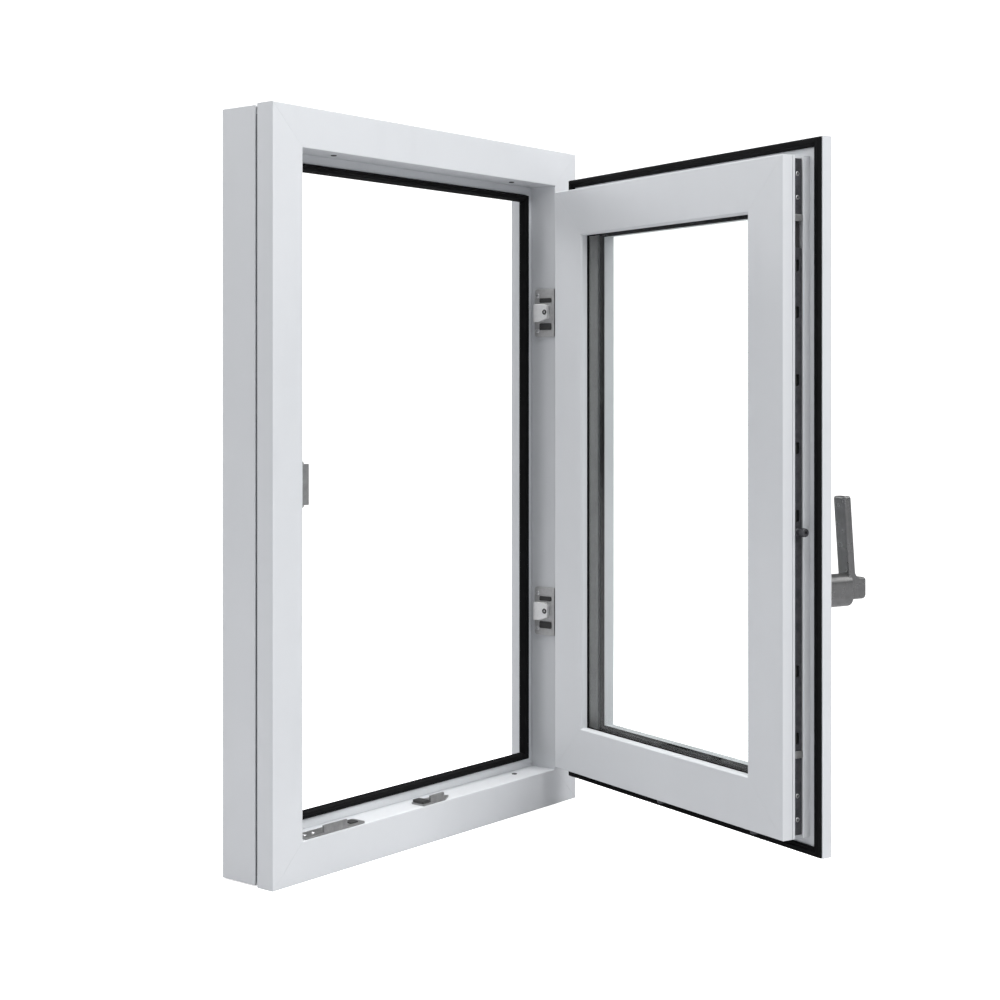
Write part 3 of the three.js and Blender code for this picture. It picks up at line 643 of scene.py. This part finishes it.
# names that end in EDGE, LINE, BASE and FLOOR are places in u, and the faces and backs in v
LIP_EDGE, SASH_EDGE, SIGHT_LINE = 42.5, 63.5, 125.5
SASH_ROOM, LIP_BACK, SASH_SPLIT, SASH_OUT = -20.4, -6.2, 19.2, 34.2
REBATE_BASE = 103.0
GROOVE_FRONT, GROOVE_BACK, UNDERCUT, GROOVE_LIP, GROOVE_FLOOR = 3.7, 15.7, 1.5, 2.5, 75.0
GLASS_EDGE, GLASS_OUT, PANE, CAVITY, GLASS_SEAL = 108.5, 21.4, 4.0, 14.0, 3.0
inner = SASH_EDGE + GROOVE_LIP
sash_room_section = [
    rounded([[LIP_EDGE, SASH_ROOM], [REBATE_BASE, SASH_ROOM], [REBATE_BASE, SASH_SPLIT],
             [SASH_EDGE, SASH_SPLIT], [SASH_EDGE, GROOVE_BACK], [inner, GROOVE_BACK],
             [inner, GROOVE_BACK + UNDERCUT], [GROOVE_FLOOR, GROOVE_BACK + UNDERCUT],
             [GROOVE_FLOOR, GROOVE_FRONT - UNDERCUT], [inner, GROOVE_FRONT - UNDERCUT],
             [inner, GROOVE_FRONT], [SASH_EDGE, GROOVE_FRONT], [SASH_EDGE, LIP_BACK],
             [LIP_EDGE, LIP_BACK]],
            [1.2, 0.3, 0.3, 0.5, 0.5, 0.2, 0.2, 0.3, 0.3, 0.2, 0.2, 0.5, 0.8, 0.6]),
    rounded(box_outline(GROOVE_FLOOR + WALL, REBATE_BASE - WALL,
                        SASH_ROOM + WALL, SASH_SPLIT - WALL), 1.0, 2),
    rounded(box_outline(LIP_EDGE + WALL, GROOVE_FLOOR,
                        SASH_ROOM + GROOVE_LIP, LIP_BACK - GROOVE_LIP), 1.0, 2),
]
face_back = SASH_OUT - 3
leg, leg_front = 110.0, GLASS_OUT + GLASS_SEAL
sash_outdoor_section = [
    rounded([[SASH_EDGE, SASH_SPLIT + 0.6], [SASH_EDGE, SASH_OUT], [SIGHT_LINE - 2, SASH_OUT],
             [SIGHT_LINE, SASH_OUT - 2], [SIGHT_LINE, leg_front], [leg, leg_front],
             [leg, face_back], [SASH_EDGE + 2.5, face_back],
             [SASH_EDGE + 2.5, SASH_SPLIT + 0.6]],
            [0.3, 1.0, 1.2, 1.2, 0.6, 0.3, 0.3, 0.3, 0.3]),
    chamber(leg, SIGHT_LINE, leg_front, SASH_OUT),
]
sash_room = rails(SASH_NAMES, "sash_", "_room_half", sash_room_section, "sash",
                  "sash_room_profile")
rails(SASH_NAMES, "sash_", "_outdoor_half", sash_outdoor_section, "sash",
      "sash_outdoor_profile")

# the gearbox's pocket in the lock stile and the spindle's hole through its room face
SPINDLE_U = 76.0
SPINDLE_X = LOCK_EDGE + SPINDLE_U
POCKET_HALF, SPINDLE_HOLE, THROUGH = 60, 7, 6
mortise = Shell()
slab(mortise, [box_outline(LOCK_EDGE + GROOVE_FLOOR - 1, LOCK_EDGE + 92, SPINDLE_Z - POCKET_HALF,
                           SPINDLE_Z + POCKET_HALF)], 1, 1.5, 17.2, 0.01, 2)
revolve(mortise, [[0, SASH_ROOM - THROUGH], [SPINDLE_HOLE, SASH_ROOM - THROUGH],
                  [SPINDLE_HOLE, SASH_ROOM + THROUGH], [0, SASH_ROOM + THROUGH]],
        (SPINDLE_X, 0, SPINDLE_Z), "y", 24)
pierce(sash_room["lock"], mortise)
refinish(POLYAMIDE, "sash_thermal_break")

HINGE_HEIGHTS = {"lower": 265.0, "upper": 677.0}
HINGE_HALF, KNUCKLE_HALF = 33.0, 12.0
seat = LIP_BACK + JOINT_GAP
overlap = gasket("overlap_seal", "sash_overlap_gasket", [
    [LIP_EDGE + 0.8, seat], [54, seat], [54, seat + 2], [52.3, -3.0], [50.5, -2.4],
    [49.2, -1.2], [47, -0.6], [45.2, -0.9], [44.3, -1.6], [LIP_EDGE + 0.8, -3.6]], "sash", 0.5)
notches = Shell()
for height in HINGE_HEIGHTS.values():
    slab(notches, [box_outline(HINGE_X - 26, HINGE_X, height - HINGE_HALF - 1,
                               height + HINGE_HALF + 1)], 1, -3.4, 1, 0.01, 2)
pierce(overlap, notches)

# ---- glazing -----------------------------------------------------------------------------------

room_front = GLASS_OUT - 2 * PANE - CAVITY
bead_back = room_front - GLASS_SEAL
bead_foot = REBATE_BASE + JOINT_GAP
bead_leg = bead_foot + 3.5
bead_section = [rounded([
    [bead_foot, SASH_ROOM], [SIGHT_LINE - 2.5, SASH_ROOM], [SIGHT_LINE, SASH_ROOM + 2.5],
    [SIGHT_LINE, bead_back], [bead_leg, bead_back], [bead_leg, -8], [bead_foot, -8]],
    [0.5, 1.2, 1.2, 0.4, 0.3, 0.3, 0.3])]
rails(SASH_NAMES, "glazing_bead_", "", bead_section, "sash",
      "glazing_bead_profile")

seal_foot = SIGHT_LINE - 8
gasket("outdoor_glass_seal", "glazing_gasket_outdoor", [
    [seal_foot, GLASS_OUT + JOINT_GAP], [SIGHT_LINE + 0.6, GLASS_OUT + JOINT_GAP],
    [SIGHT_LINE + 1, GLASS_OUT + 1], [SIGHT_LINE + 0.4, leg_front - JOINT_GAP],
    [seal_foot, leg_front - JOINT_GAP]], "sash", 0.4)
gasket("room_glass_seal", "glazing_gasket_room", [
    [seal_foot, bead_back + JOINT_GAP], [SIGHT_LINE + 0.4, bead_back + JOINT_GAP],
    [SIGHT_LINE + 1, room_front - 1], [SIGHT_LINE + 0.6, room_front - JOINT_GAP],
    [seal_foot, room_front - JOINT_GAP]], "sash", 0.4)


def pane(name, node, front):
    """A sheet of float glass with its edges arrised."""
    half = WIDTH / 2 - GLASS_EDGE
    outline = rounded(box_outline(-half, half, GLASS_EDGE, HEIGHT - GLASS_EDGE), 1.0)
    shell = slab(Shell(), [outline], 1, front, front + PANE, 0.4, 2)
    build(name, shell, "sash", GLASS, [node])


pane("outdoor_pane", "glass_pane_outdoor", GLASS_OUT - PANE)
pane("room_pane", "glass_pane_room", room_front)
refinish(SPACER, "glass_spacer_bar")
refinish(NYLON, "setting_block_lock_side", "setting_block_hinge_side")
refinish(DULL, "gearbox", *(f"corner_cleat_{row}_{column}" for row in ("bottom", "top")
                            for column in ("lock", "hinge")))

# ---- screws ------------------------------------------------------------------------------------

PRESSED = 0.35  # the rim of a plate pressed from sheet steel

# each head's radius and its rise above the plate
KEEP_SCREW, PLATE_SCREW, CLAMP_SCREW, DRIVE_SCREW = (3.1, 0.9), (3.3, 0.9), (3.6, 1.0), (2.8, 0.7)


def screw(shell, point, axis, outward, radius, rise):
    """A raised countersunk head with a six-lobed driven recess, its rim at the point."""
    profile = np.array([
        [0, -0.9 * rise], [0.34, -0.9 * rise], [0.44, -0.1 * rise], [0.5, rise * 0.92],
        [0.62, rise * 0.95], [0.82, rise * 0.72], [0.96, rise * 0.3], [1.0, 0],
        [0.98, -0.5], [0.55, -1.9], [0, -1.9]])
    profile[:, 0] *= radius
    profile[:, 1] *= outward
    lobes = [0, 0.16, 0.16, 0.14, 0, 0, 0, 0, 0, 0, 0]
    return revolve(shell, profile, point, axis, 24, lobes)


# ---- keeps -------------------------------------------------------------------------------------

KEEP_FRONT, KEEP_LIP_BACK, KEEP_BACK = 0.8, 4.2, 22.0
KEEP_PLATE_TOP, KEEP_LIP_TOP = FACE + 2.5, FACE + 11
TONGUE_TIP_V = 11


def keep(name, node, on_sill, plate, lip, insert=None, rise=1.4, tongue=None, holes=()):
    """A striker: a plate on the rebate, the raised lip that the cam draws in behind, a dark wear
    insert let into the plate, and on the middle keep a pointed run-up tongue. Places along the sill
    are measured from the window's lock edge, and places along the jamb from its foot."""
    axis, offset, start = (2, 0, LOCK_EDGE) if on_sill else (0, LOCK_EDGE, 0)

    def flat(points):
        """Points of distance along and depth, in the order that the axis leaves."""
        moved = np.asarray(points, float) + [start, 0]
        return moved if on_sill else moved[:, ::-1]

    outline = rounded(box_outline(*plate, KEEP_FRONT, KEEP_BACK), 2.2, 4)
    if tongue:
        root, tip = tongue
        outline = rounded([[plate[0], KEEP_FRONT], [root, KEEP_FRONT], [tip, TONGUE_TIP_V],
                           [root, KEEP_BACK], [plate[0], KEEP_BACK]], [2, 1.5, 1.5, 1.5, 2], 4)
    shell = slab(Shell(), [flat(outline)] + [flat(circle(a, v, 2.4)) for a, v in holes], axis,
                 offset + FACE + JOINT_GAP, offset + KEEP_PLATE_TOP, PRESSED)
    slab(shell, [flat(rounded(box_outline(*lip, KEEP_FRONT, KEEP_LIP_BACK), 0.8, 3))], axis,
         offset + KEEP_PLATE_TOP - 1, offset + KEEP_LIP_TOP, 0.7)
    build(name, shell, "frame", DULL, [node])
    fixings = Shell()
    proud = KEEP_PLATE_TOP + 0.1
    for a, v in holes:
        spot = (LOCK_EDGE + a, v, proud) if on_sill else (LOCK_EDGE + proud, v, a)
        screw(fixings, spot, "z" if on_sill else "x", 1, *KEEP_SCREW)
    build(f"{name}_screws", fixings, "frame", BRIGHT)
    if insert:
        block = slab(Shell(), [flat(rounded(box_outline(*insert), 1.2, 3))], axis,
                     offset + KEEP_PLATE_TOP - 0.4, offset + KEEP_PLATE_TOP + rise, 0.4)
        build(f"{name}_wear_insert", block, "frame", DARK_NYLON)


keep("jamb_keep", "lock_jamb_keep", False, (434, 488), (437, 485), holes=((441, 13), (481, 13)))
keep("sill_corner_striker", "sill_corner_keep", True, (54, 155), (84, 124),
     insert=(134, 147, 5, 18), holes=((62, 12), (76, 12)))
keep("sill_middle_striker", "sill_mid_keep", True, (262, 323), (276, 302), rise=3.6,
     insert=(262.5, 275, 2.5, 20), tongue=(304, 323), holes=((282, 13), (297, 13)))

# ---- hinges ------------------------------------------------------------------------------------

BARREL, PIN_BORE, PIN = 8.5, 3.8, 3.5
CAP, CAP_LENGTH = 6.5, 3
LEAF, LEAF_FRONT, PLATE_HOLE = 3, -2.8, 2.6
WALL_X = HINGE_EDGE - FACE - JOINT_GAP  # the leaf's back, against the jamb's rebate
RETURN_V, RETURN_RISE = 28, 24  # the screws in the leaf's return along the jamb
WING = 4
WING_BACK = HINGE_V - JOINT_GAP
CLAMP_BACK = WALL_X - JOINT_GAP - 3
CLAMP = 6
# where the dark pads sit on the return plate: painted shade, dark pieces standing for the shade of a
# recess
SHADE_PAD_SPANS = ((14.2, 20.5), (-23.5, -14.2))


def knuckle(shell, height, low, high):
    """A tube about the hinge line with chamfered ends."""
    soft = 0.7
    revolve(shell, [[PIN_BORE, height + low], [BARREL - soft, height + low],
                    [BARREL, height + low + soft], [BARREL, height + high - soft],
                    [BARREL - soft, height + high], [PIN_BORE, height + high]],
            (HINGE_X, HINGE_V, 0), "z", 40)


def frame_plate(height):
    """The leaf on the jamb's face with its return along the rebate, its screw holes, and the two
    outer knuckles on their necks."""
    low, high = height - HINGE_HALF, height + HINGE_HALF
    leaf = Shell()
    slab(leaf, [rounded(box_outline(WALL_X - LEAF, HINGE_X + 9, low, high), [0.5, 3, 3, 0.5], 4)],
         1, LEAF_FRONT, -JOINT_GAP, PRESSED)
    slab(leaf, [rounded(box_outline(LEAF_FRONT, 33, low, high), [0.5, 4, 4, 0.5], 4),
                circle(RETURN_V, height - RETURN_RISE, PLATE_HOLE),
                circle(RETURN_V, height + RETURN_RISE, PLATE_HOLE)],
         0, WALL_X - LEAF, WALL_X, PRESSED)
    neck = rounded(box_outline(HINGE_X - 5, HINGE_X + 5, HINGE_V + PIN_BORE + 1.5, -1.8), 0.4, 2)
    for end_low, end_high in ((-HINGE_HALF, -KNUCKLE_HALF - JOINT_GAP),
                              (KNUCKLE_HALF + JOINT_GAP, HINGE_HALF)):
        knuckle(leaf, height, end_low, end_high)
        slab(leaf, [neck], 2, height + end_low, height + end_high, 0.5)
    return leaf


def sash_wing(height, spots):
    """The middle knuckle, its arm, and the wing that is screwed to the sash at the spots."""
    half = KNUCKLE_HALF - JOINT_GAP
    wing = Shell()
    knuckle(wing, height, -half, half)
    slab(wing, [rounded(box_outline(HINGE_X - 20, HINGE_X - PIN_BORE - 1.5, height - half,
                                    height + half), 0.4)], 1, WING_BACK - WING, WING_BACK, 0.6)
    slab(wing, [rounded(box_outline(HINGE_X - 52, HINGE_X - 13, height - 28, height + 28), 4, 5)]
         + [circle(x, z, PLATE_HOLE) for x, z in spots], 1, WING_BACK - WING, WING_BACK, 0.8)
    return wing


def capped_pin(height):
    """A pin with a shouldered cap at each end, one profile mirrored about its middle."""
    neck_end = HINGE_HALF + JOINT_GAP
    end = neck_end + CAP_LENGTH
    upper = np.array([[PIN, neck_end], [CAP, neck_end], [CAP, end - 1.5], [5.4, end - 0.4],
                      [3.2, end], [0, end]])
    profile = np.vstack([upper[::-1] * [1, -1], upper]) + [0, height]
    return revolve(Shell(), profile, (HINGE_X, HINGE_V, 0), "z", 40)


for level, height in HINGE_HEIGHTS.items():
    build(f"hinge_{level}_frame_plate", frame_plate(height), "frame", PALE,
          [f"hinge_{level}_frame_leaf"])
    spots = [(HINGE_X - x, height + z) for x in (44, 28) for z in (-19, 19)]
    build(f"hinge_{level}_sash_wing", sash_wing(height, spots), "sash", BRIGHT,
          [f"hinge_{level}_sash_leaf"])
    fixings = Shell()
    for x, z in spots:
        screw(fixings, (x, WING_BACK - WING - 0.1, z), "y", -1, *PLATE_SCREW)
    build(f"hinge_{level}_sash_screws", fixings, "sash", BRIGHT)
    build(f"hinge_{level}_capped_pin", capped_pin(height), "frame", BRIGHT,
          [f"hinge_{level}_pin"])

    # the clamp narrows towards the room, where its screw is
    outline = rounded([[7, height - 7.5], [12, height - 9], [22, height - 12.4],
                       [31, height - 12.4], [31, height + 12.4], [13, height + 12.4],
                       [7, height + 9.5]], [1.5, 1, 2, 2, 2, 3, 1.5], 3)
    block = slab(Shell(), [outline], 0, CLAMP_BACK - CLAMP, CLAMP_BACK, 0.8)
    build(f"hinge_{level}_clamp_block", block, "frame", CAST,
          [f"hinge_{level}_clamp"])
    fixing = screw(Shell(), (CLAMP_BACK - CLAMP - 0.1, 11.6, height + 1), "x", -1, *CLAMP_SCREW)
    build(f"hinge_{level}_clamp_screw", fixing, "frame", DARK_STEEL)
    fixings = Shell()
    for z in (height - RETURN_RISE, height + RETURN_RISE):
        screw(fixings, (WALL_X - LEAF - 0.1, RETURN_V, z), "x", -1, *PLATE_SCREW)
    build(f"hinge_{level}_return_screws", fixings, "frame", BRIGHT)
    # dark nylon pads proud of the return plate: painted shade of a recess, not real shims
    shade_pads = Shell()
    for low, high in SHADE_PAD_SPANS:
        slab(shade_pads, [rounded(box_outline(4, 24, height + low, height + high), 1.5, 3)],
             0, WALL_X - LEAF - 1.4, WALL_X - LEAF + 0.1, 0.4)
    build(f"hinge_{level}_shims", shade_pads, "frame", DARK_NYLON)

# ---- lock --------------------------------------------------------------------------------------

ROD_FRONT, ROD_BACK, ROD_LOW, ROD_HIGH = 66.4, 69.0, 3.2, 16.2
GROOVE_MIDDLE = (GROOVE_FRONT + GROOVE_BACK) / 2
ROD_TRAVEL, ROD_FOOT, ROD_HEAD = 36.0, 158.0, 732.0
ROD_CORNER = 1.4
SLOT_LENGTH, SLOT_WIDTH = 14.0, 5.2
STILE_SLOTS = (176, 252, 428, 505, 582, 659, 712)
BOTTOM_START, BOTTOM_END, BOTTOM_SLOTS = 126 + ROD_TRAVEL, 345, (180, 232, 285)
STILE_CAM_Z, BOTTOM_CAMS = 410, (("corner", 141), ("mid", 319))
CAM_FOOT, CAM_TIP = ROD_FRONT - JOINT_GAP, 52.5


def roller_cam(point, axis):
    """A mushroom: a flanged foot, a waist and a rolled head with a dimple in its end."""
    length = CAM_FOOT - CAM_TIP
    profile = np.array([
        [0, 0], [4.4, 0], [4.4, 0.9], [3.6, 1.5], [3.5, length - 7.2], [3.8, length - 6.6],
        [4.7, length - 6.2], [5.0, length - 5.6], [5.0, length - 1.2], [4.6, length - 0.3],
        [3.9, length], [1.9, length], [1.7, length - 1.8], [0, length - 1.8]])
    return revolve(Shell(), profile * [1, -1], point, axis, 32)


outline = rounded(box_outline(ROD_LOW, ROD_HIGH, ROD_FOOT, ROD_HEAD), ROD_CORNER, 3)
slots = [oblong(GROOVE_MIDDLE, z, SLOT_LENGTH, SLOT_WIDTH) for z in STILE_SLOTS]
stile_bar = slab(Shell(), [outline, *slots], 0, LOCK_EDGE + ROD_FRONT, LOCK_EDGE + ROD_BACK,
                 PRESSED)
build("stile_drive_bar", stile_bar, "stile_rod", ROD_STEEL, ["stile_drive_rod"])
cam = roller_cam((LOCK_EDGE + CAM_FOOT, GROOVE_MIDDLE, STILE_CAM_Z), "x")
build("stile_roller_cam", cam, "stile_rod", ROD_STEEL, ["stile_cam"])

outline = rounded(box_outline(LOCK_EDGE + BOTTOM_START, LOCK_EDGE + BOTTOM_END, ROD_LOW, ROD_HIGH),
                  ROD_CORNER, 3)
slots = [oblong(LOCK_EDGE + u, GROOVE_MIDDLE, SLOT_LENGTH, SLOT_WIDTH, True)
         for u in BOTTOM_SLOTS]
bottom_bar = slab(Shell(), [outline, *slots], 2, ROD_FRONT, ROD_BACK, PRESSED)
build("bottom_drive_bar", bottom_bar, "bottom_rod", ROD_STEEL, ["bottom_drive_rod"])
for label, u in BOTTOM_CAMS:
    cam = roller_cam((LOCK_EDGE + u, GROOVE_MIDDLE, CAM_FOOT), "z")
    build(f"bottom_roller_cam_{label}", cam, "bottom_rod", ROD_STEEL,
          [f"bottom_cam_{label}"])

# the dark liner on the groove's floor, above and below the gearbox
liner = Shell()
liner_outline = rounded(box_outline(LOCK_EDGE + ROD_BACK + 1, LOCK_EDGE + GROOVE_FLOOR - 0.2,
                                    GROOVE_FRONT, GROOVE_BACK), 0.4, 2)
for low, high in ((ROD_FOOT + 2, SPINDLE_Z - POCKET_HALF - 1),
                  (SPINDLE_Z + POCKET_HALF + 1, ROD_HEAD + ROD_TRAVEL)):
    slab(liner, [liner_outline], 2, low, high, 0.4)
build("lock_groove_liner", liner, "sash", DARK_NYLON)

DRIVE_ARM, CLIP_LENGTH = 120, 8
STILE_SCREWS = (84.0, 111.0)
# at the bottom the corner cam slides to 105 along the rail, so its screws stay short of that
RAIL_SCREWS = {"bottom": (80.0, 95.0), "top": (84.0, 111.0)}
for row, reach in (("bottom", 154.0), ("top", 130.0)):
    upper = row == "top"

    def level_at(z):
        """The height z from the row's own outer edge, as a height above the sill's underside."""
        return HEIGHT - z if upper else z

    angle_outline = rounded([[ROD_FRONT, ROD_FRONT], [DRIVE_ARM, ROD_FRONT], [DRIVE_ARM, ROD_BACK],
                             [ROD_BACK, ROD_BACK], [ROD_BACK, reach], [ROD_FRONT, reach]],
                            [1.2, 0.8, 0.8, 0.6, 0.8, 0.8], 3)
    placed = np.stack([LOCK_EDGE + angle_outline[:, 0], level_at(angle_outline[:, 1])], 1)
    corner = slab(Shell(), [placed], 1, ROD_LOW, ROD_HIGH, PRESSED)
    build(f"corner_drive_angle_{row}", corner, "sash", ROD_STEEL,
          [f"corner_drive_{row}"])
    clip_low, clip_high = sorted((level_at(reach), level_at(reach + CLIP_LENGTH)))
    clip = slab(Shell(), [rounded(box_outline(GROOVE_FRONT + 0.2, GROOVE_BACK - 0.2, clip_low,
                                              clip_high), 1.4, 3)], 0,
                LOCK_EDGE + SASH_EDGE + 0.2, LOCK_EDGE + ROD_FRONT - 0.2, 0.5)
    build(f"corner_drive_clip_{row}", clip, "sash", DULL)
    fixings = Shell()
    proud = ROD_FRONT - 0.1
    for z, u in zip(STILE_SCREWS, RAIL_SCREWS[row]):
        screw(fixings, (LOCK_EDGE + proud, GROOVE_MIDDLE, level_at(z)), "x", -1, *DRIVE_SCREW)
        screw(fixings, (LOCK_EDGE + u, GROOVE_MIDDLE, level_at(proud)), "z", 1 if upper else -1,
              *DRIVE_SCREW)
    build(f"corner_drive_screws_{row}", fixings, "sash", DULL)

# ---- handle ------------------------------------------------------------------------------------

ROSE_HALF_WIDTH, ROSE_HALF_HEIGHT, ROSE, ROSE_HOLE = 15.5, 34, 10, 10.5
NECK_HALF_WIDTH, NECK_HALF_HEIGHT, NECK_REACH = 12, 19, 55
LEVER_HALF, SPINDLE_HALF = 10, 3.5
rosette_back = SASH_ROOM - JOINT_GAP
rosette_front = rosette_back - ROSE


def about_spindle(half_x, half_z):
    """A rectangle centred on the spindle."""
    return box_outline(SPINDLE_X - half_x, SPINDLE_X + half_x, SPINDLE_Z - half_z,
                       SPINDLE_Z + half_z)


rose = slab(Shell(), [rounded(about_spindle(ROSE_HALF_WIDTH, ROSE_HALF_HEIGHT), 8, 8),
                      circle(SPINDLE_X, SPINDLE_Z, ROSE_HOLE, 32)],
            1, rosette_front, rosette_back, 1.6, 5)
build("handle_backplate", rose, "sash", HANDLE, ["handle_rosette"])

grip = revolve(Shell(), [[0, rosette_front - 2], [10, rosette_front - 2], [10, rosette_front + 9.5],
                         [9.5, rosette_front + 10], [0, rosette_front + 10]],
               (SPINDLE_X, 0, SPINDLE_Z), "y", 40)
slab(grip, [rounded(about_spindle(NECK_HALF_WIDTH, NECK_HALF_HEIGHT), 11.5, 10)], 1,
     SASH_ROOM - NECK_REACH, rosette_front - JOINT_GAP, 2.4, 6)
# the hub and blade seen from the side: how far out from the sash, and how far up from the spindle
lever_side = np.array([[49.5, -11], [76, -11], [76, 14], [60, 15], [52.5, 106], [51.5, 109],
                       [43, 109], [42, 106], [49.5, 15]])
side = rounded([SASH_ROOM, SPINDLE_Z] + lever_side * [-1, 1], [2, 5, 4, 7, 3, 1.5, 2.5, 4, 3], 6)
slab(grip, [side], 0, SPINDLE_X - LEVER_HALF, SPINDLE_X + LEVER_HALF, 2.6, 6)
build("handle_grip", grip, "handle", HANDLE, ["handle_lever"])
spindle = slab(Shell(), [rounded(about_spindle(SPINDLE_HALF, SPINDLE_HALF), 0.6)], 1,
               SASH_ROOM - 6, 11, 0.5)
build("handle_square_spindle", spindle, "handle", BRIGHT, ["handle_spindle"])

# ---- plugs and covers --------------------------------------------------------------------------

PLUG_FROM_END, PLUG_V = 120, 20
DOME = np.array([[0, -0.6], [3.6, -0.6], [3.7, 0.5], [3.0, 0.9], [0, 1.0]])
plug_spots = [
    ((LOCK_EDGE + 479, 26, FACE), "z", 1),
    ((LOCK_EDGE + PLUG_FROM_END, PLUG_V, HEIGHT - FACE), "z", -1),
    ((HINGE_EDGE - PLUG_FROM_END, PLUG_V, HEIGHT - FACE), "z", -1),
    ((LOCK_EDGE + FACE, PLUG_V, 160), "x", 1),
    ((LOCK_EDGE + FACE, PLUG_V, 740), "x", 1),
]
plugs = Shell()
for point, axis, outward in plug_spots:
    revolve(plugs, DOME * [1, outward], point, axis, 24)
build("frame_screw_plugs", plugs, "frame", DARK_NYLON)

covers = Shell()
for x in DRAIN_SPOTS:
    slab(covers, [rounded(box_outline(x - 19, x + 19, 4.5, 14.5), 3, 4)], 1, DEPTH, DEPTH + 2.6,
         0.9, 4)
build("sill_drain_covers", covers, "frame", COAT)

# ---- floor and light ---------------------------------------------------------------------------

FLOOR_HALF = 60.0
SEEN_WHITE = 1.35
floor_mesh = bpy.data.meshes.new("floor")
floor_mesh.from_pydata([(x, y, 0) for x, y in box_outline(-FLOOR_HALF, FLOOR_HALF, -FLOOR_HALF,
                                                          FLOOR_HALF)], [], [(0, 1, 2, 3)])
floor = bpy.data.objects.new("floor", floor_mesh)
bpy.context.scene.collection.objects.link(floor)

# seen directly the floor is white paper that runs into the backdrop; it throws less light back
paper = Finish("studio_floor")
seen = paper.node("LightPath", output="Is Camera Ray")
matt = paper.node("BsdfDiffuse", {"Color": (0.93, 0.93, 0.93, 1)})
glow = paper.node("Emission", {"Color": (1, 1, 1, 1), "Strength": 0.75})
near = paper.node("AddShader", {0: matt, 1: glow})
sweep = paper.node("Emission", {"Color": (1, 1, 1, 1), "Strength": SEEN_WHITE})
reach = paper.node("VectorMath", {0: paper.object_point()}, output="Value", operation="LENGTH")
bright = paper.node("MixShader", {0: paper.ramp(reach, 0.7, 2.2), 1: near, 2: sweep})
dim = paper.node("BsdfDiffuse", {"Color": (0.42, 0.42, 0.43, 1)})
floor_mesh.materials.append(paper.surface(paper.node("MixShader", {0: seen, 1: dim, 2: bright})))

world = bpy.data.worlds.new("studio")
bpy.context.scene.world = world
world.use_nodes = True
tree = world.node_tree
tree.nodes.clear()


def background(colour, strength):
    """An even glow from all round."""
    shade = tree.nodes.new("ShaderNodeBackground")
    shade.inputs["Color"].default_value = (*colour, 1)
    shade.inputs["Strength"].default_value = strength
    return shade.outputs[0]


path = tree.nodes.new("ShaderNodeLightPath")
mix = tree.nodes.new("ShaderNodeMixShader")
out = tree.nodes.new("ShaderNodeOutputWorld")
tree.links.new(path.outputs["Is Camera Ray"], mix.inputs[0])
tree.links.new(background((0.95, 0.975, 1.0), 0.24), mix.inputs[1])
tree.links.new(background((1, 1, 1), SEEN_WHITE), mix.inputs[2])
tree.links.new(mix.outputs[0], out.inputs["Surface"])


def soft_light(name, place, width, height, power):
    """A large rectangular studio light aimed at the middle of the window."""
    data = bpy.data.lights.new(name, "AREA")
    data.shape = "RECTANGLE"
    data.size, data.size_y, data.energy = width, height, power
    light = bpy.data.objects.new(name, data)
    light.location = place
    aim = Vector((0, -0.1, 0.45)) - Vector(place)
    light.rotation_euler = aim.to_track_quat("-Z", "Y").to_euler()
    bpy.context.scene.collection.objects.link(light)
    return light


soft_light("key_light", (-1.2, -6.3, 5.0), 5.0, 4.0, 345)
soft_light("top_light", (-0.5, -0.4, 6.0), 5.0, 5.0, 500)
soft_light("outdoor_light", (-3.0, 5.8, 4.6), 5.0, 3.0, 185)
fill = soft_light("front_fill", (4.4, -4.9, 4.6), 5.0, 4.0, 100)
fill.data.use_shadow = False

view = bpy.context.scene.view_settings
view.view_transform = "Standard"
view.look = "None"
